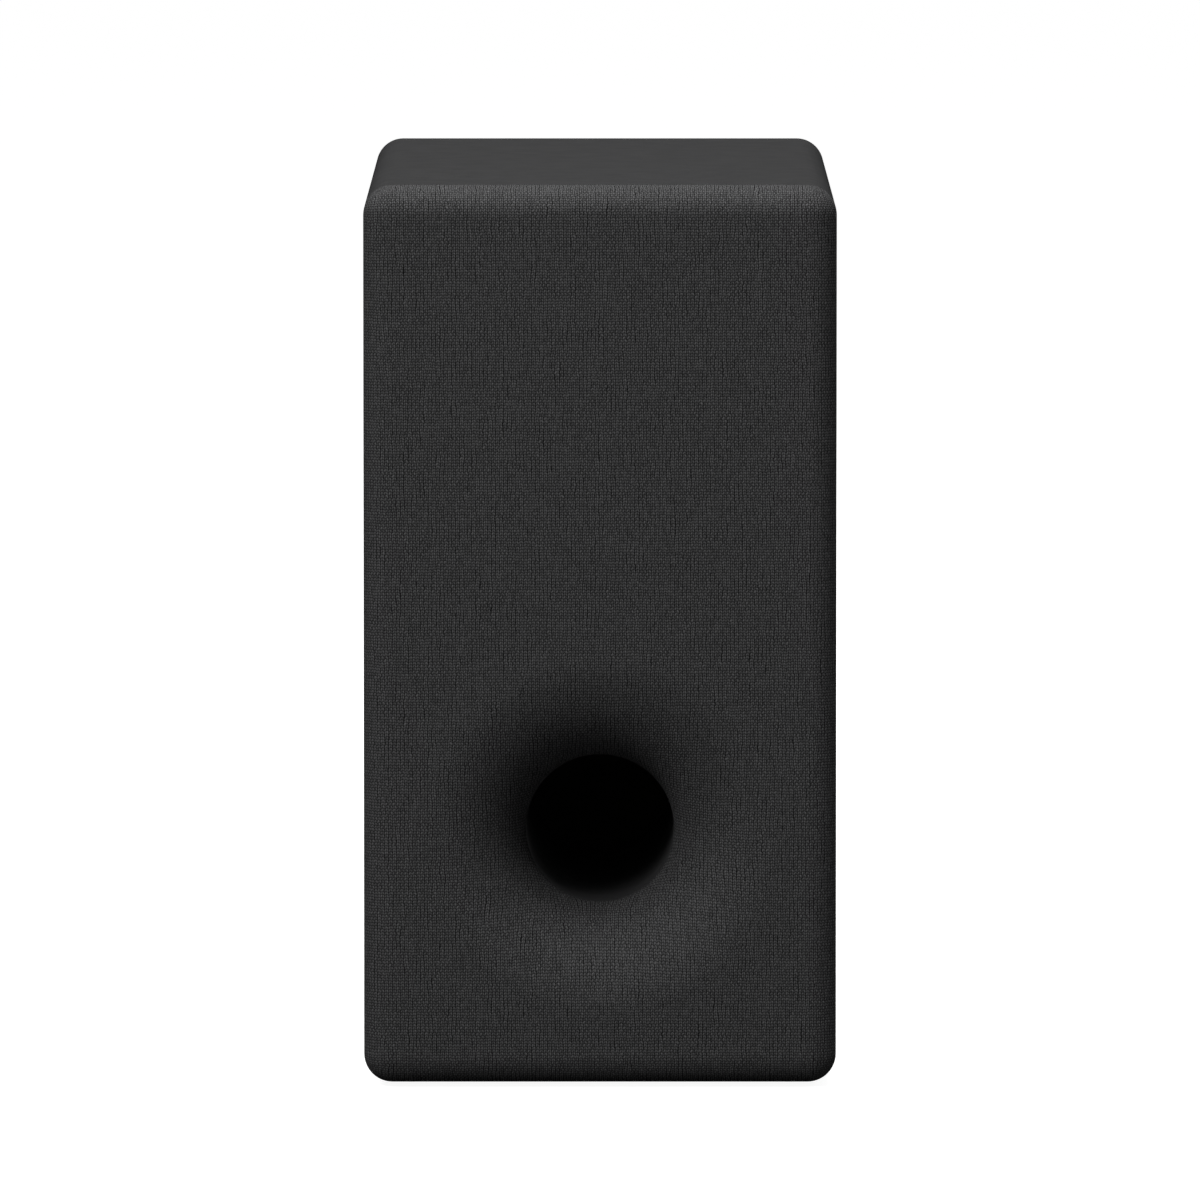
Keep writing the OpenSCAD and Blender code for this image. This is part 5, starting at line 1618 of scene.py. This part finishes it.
    def switches(self):
        low, high = corners("tact_switches")
        spot = middle("power_button")
        shape, hats = Shape(), Shape()
        side, base, cover = 6.0, 0.7, 0.3
        for x in (-abs(spot.x), abs(spot.x)):
            opening = [hole(x, spot.z, 1.8, 32)]
            shape.plate(slab(side, side, 0.5, x, spot.z, 7, keep_r=True), opening, low.y + base,
                        high.y - cover, 0.1)
            shape.block(x, spot.z, side, side, low.y, low.y + base, 0.4, 0.1)
            hats.plate(slab(side - 0.2, side - 0.2, 0.5, x, spot.z, 7, keep_r=True), opening, high.y - cover,
                       high.y, 0.06)
            for s in (-1, 1):
                for t in (-1, 1):
                    hats.block(x + s * 3.4, spot.z + t * 2.2, 1.0, 0.7, low.y, low.y + 0.25, 0.1, 0.05)
        shape.piece("switch_bodies", moulded("switch_plastic", (0.028, 0.028, 0.03), 0.4), ["tact_switches"],
                    "switch_plastic")
        hats.piece("switch_covers", metallic("switch_tin", (0.62, 0.62, 0.60), 0.28), slot="shield_can")

    def small_parts(self, hardware):
        """Chips and small parts between the large ones on the main board's parts side."""
        draw = random.Random(hardware.seed)
        taken, margin, gap = [], 1.5, 0.6
        for node in ("heatsink", "power_transformer", "bulk_capacitors", "output_inductors",
                     "wireless_module", "ac_inlet"):
            low, high = corners(node)
            taken.append((low.x - margin, low.z - margin, high.x + margin, high.z + margin))
        grommet = middle("cable_grommet")
        taken.append((grommet.x - 8, grommet.z - 7, grommet.x + 8, grommet.z + 7))
        back, chips, caps = BOARD_HIGH.y - BOARD_T, Shape(), Shape()
        for w, h, tall, count, shape in ((9, 9, 1.4, 2, chips), (6, 5, 1.3, 4, chips),
                                         (3.2, 1.6, 0.9, 22, caps), (2.0, 1.2, 0.7, 40, caps)):
            for _ in range(count * 12):
                x = draw.uniform(BOARD_LOW.x + 8, BOARD_HIGH.x - 8)
                z = draw.uniform(BOARD_LOW.z + 12, BOARD_HIGH.z - 12)
                if draw.random() < 0.5:
                    w, h = h, w
                spot = (x - w / 2 - gap, z - h / 2 - gap, x + w / 2 + gap, z + h / 2 + gap)
                if all(spot[2] < t[0] or spot[0] > t[2] or spot[3] < t[1] or spot[1] > t[3] for t in taken):
                    taken.append(spot)
                    shape.block(x, z, w, h, back - tall, back, 0.2, 0.12)
                    count -= 1
                if count == 0:
                    break
        chips.piece("board_chips", moulded("chip_epoxy", (0.02, 0.02, 0.021), 0.45), slot="switch_plastic")
        caps.piece("board_small_parts", moulded("chip_ceramic", (0.42, 0.30, 0.18), 0.35), slot="led_lens")


class SUB_OT_leads(bpy.types.Operator):
    """Run the two speaker leads from the board to the driver's tags"""
    bl_idname = "subwoofer.leads"
    bl_label = "Speaker Leads"

    route = [(-38, 172, 245), (-38, 158, 245), (-38, 140, 245), (-38, 122, 244), (-40, 96, 238),
             (-43, 64, 230), (-46, 32, 226), (-48, 0, 226), (-51, -32, 232), (-55, -62, 244),
             (-58, -88, 256), (-60, -106, 263), (-60, -118, 266), (-60, -127, 266)]

    def execute(self, context):
        connectors = Shape()
        beside, above, turn_from, turn_over = 3, 4, 5, 5
        for name, side, colour in (("red", 1, (0.36, 0.012, 0.012)), ("black", -1, (0.014, 0.014, 0.014))):
            path = []
            for i, (x, y, z) in enumerate(self.route):
                u = max(0.0, min(1.0, (i - turn_from) / turn_over))
                path.append((x + side * beside * (1 - u), y, z + side * above * u))
            line = smooth_path(path, 160)
            Shape().tube(line, 1.3, 16).piece("lead_" + name, rubbery(name + "_pvc", colour, 0.5, 0.9),
                                              ["speaker_lead_" + name], name + "_pvc")
            tip, before = line[-1], line[-8]
            way = (tip - before).normalized()
            connectors.tube([tip - way * 6 + way * k for k in (0, 0.4, 3.6, 4.0)], 1.75, 16)
        connectors.piece("spade_sleeves", rubbery("spade_sleeve", (0.30, 0.29, 0.27), 0.45, 1.0),
                         slot="red_pvc")
        return {"FINISHED"}


class SUB_OT_fasteners(bpy.types.Operator):
    """Set the screws of the driver, port, amplifier and boards"""
    bl_idname = "subwoofer.fasteners"
    bl_label = "Fasteners"

    def execute(self, context):
        hardware = settings().hardware
        black = metallic("black_screw", hardware.black_steel, 0.42, (1, 1, 1), 0.75)
        zinc = metallic("zinc_screw", (0.58, 0.57, 0.53), 0.3)
        pitch = hardware.thread / MM
        jobs = (
            ("basket_fixings", "driver_screws", 2.0, 3.4, 2.4, 1, 8, 22.5),
            ("duct_fixings", "port_screws", 1.5, 3.0, 2.0, 1, 4, 45.0),
            ("panel_fixings", "amp_screws", 1.75, AMP_HEAD, 1.8, -1, 0, 0.0))
        for name, node, r, head_r, head_h, way, count, start in jobs:
            low, high = corners(node)
            seat = low.y + head_h if way > 0 else high.y - head_h
            long = (high.y - low.y) - head_h
            shape = screw_shape(r, long, head_r, head_h, way, pitch)
            if count:
                # An even ring, its first screw at the angle start. Its reach in x gives its radius.
                widest = max(math.cos(a) for a in turns(count, math.radians(start)))
                radius = (high.x - head_r) / widest
                spots = ring_places(count, radius, (low.z + high.z) / 2, start)
            else:
                spots = amp_screw_places()
            made = scattered(name, shape, [(x, seat, z) for x, z in spots], black, math.pi, hardware.seed)
            riding(made, "cabinet", [node])
        self.board_fixings(zinc, hardware)
        return {"FINISHED"}

    def board_fixings(self, zinc, hardware):
        places = [(x, BOARD_HIGH.y - BOARD_T, z) for x, z in board_posts()]
        light = middle("status_led")
        places += [(x, CONTROL_HIGH.y - BOARD_T, light.z) for x in (-CONTROL_POST, CONTROL_POST)]
        shape = screw_shape(1.4, 7, BOARD_HEAD, 1.8, 1, 0.7)
        made = scattered("board_fixings", shape, places, zinc, math.pi, hardware.seed)
        riding(made, "cabinet", ["board_screws"])


class SUB_OT_wadding(bpy.types.Operator):
    """Fill the side walls with fibre wadding"""
    bl_idname = "subwoofer.wadding"
    bl_label = "Wadding"

    def execute(self, context):
        material = fluffy("fibre_wadding", (0.72, 0.72, 0.68))
        for node, seed in (("wadding_left", 1), ("wadding_right", 2)):
            low, high = corners(node)
            made = placed(node + "_batt", batt_mesh(node + "_batt", low, high, seed), material)
            riding(made, "cabinet", [node])
        return {"FINISHED"}


def batt_mesh(name, low, high, seed):
    """A soft batt in its box: rounded edges, thinner towards them, with a lumpy surface."""
    step = 5.0
    size, centre = high - low, (low + high) / 2
    counts = [max(2, round(s / step)) for s in size]
    work = bmesh.new()
    bmesh.ops.create_cube(work, size=1.0)
    bmesh.ops.subdivide_edges(work, edges=work.edges, cuts=max(counts) // 2, use_grid_fill=True)
    offset = Vector((seed * 40.0, 0, 0))
    round_r = min(size) / 2 * 0.8
    for vert in work.verts:
        p = Vector(vert.co[i] * size[i] for i in range(3))
        core = Vector(max(-(size[i] / 2 - round_r), min(size[i] / 2 - round_r, p[i])) for i in range(3))
        out = p - core
        if out.length > 1e-6:
            out.normalize()
        swell = 0.78 + 0.16 * noise.noise((p + offset) * 0.05) + 0.1 * noise.noise((p + offset) * 0.22)
        vert.co = (centre + core + out * round_r * min(1.0, swell)) * MM
    bmesh.ops.recalc_face_normals(work, faces=work.faces)
    data = bpy.data.meshes.new(name)
    work.to_mesh(data)
    work.free()
    return soften(data, 80)


# ---- Panel and registration ----

STEPS = (SUB_OT_stage, SUB_OT_cloth, SUB_OT_cabinet, SUB_OT_feet, SUB_OT_grille, SUB_OT_port, SUB_OT_driver,
         SUB_OT_diaphragm, SUB_OT_panel, SUB_OT_buttons, SUB_OT_electronics, SUB_OT_leads, SUB_OT_fasteners,
         SUB_OT_wadding)


class SUB_PT_panel(bpy.types.Panel):
    """Settings of the subwoofer and the steps that build it"""
    bl_idname = "SUB_PT_panel"
    bl_label = "Slim Subwoofer"
    bl_space_type = "VIEW_3D"
    bl_region_type = "UI"
    bl_category = "Subwoofer"

    def draw(self, context):
        chosen = settings()
        for group in (chosen.stage, chosen.cloth, chosen.cabinet, chosen.hardware):
            box = self.layout.box()
            for name in group.__annotations__:
                box.prop(group, name)
        for step in STEPS:
            self.layout.operator(step.bl_idname)


CLASSES = (ClothSettings, CabinetSettings, HardwareSettings, StageSettings, SubwooferSettings, *STEPS,
           SUB_PT_panel)


def register():
    for cls in CLASSES:
        bpy.utils.register_class(cls)
    bpy.types.Scene.subwoofer = PointerProperty(type=SubwooferSettings)


def unregister():
    del bpy.types.Scene.subwoofer
    for cls in reversed(CLASSES):
        bpy.utils.unregister_class(cls)


def main():
    register()
    for step in STEPS:
        group, name = step.bl_idname.split(".")
        getattr(getattr(bpy.ops, group), name)()


if __name__ == "__main__":
    main()
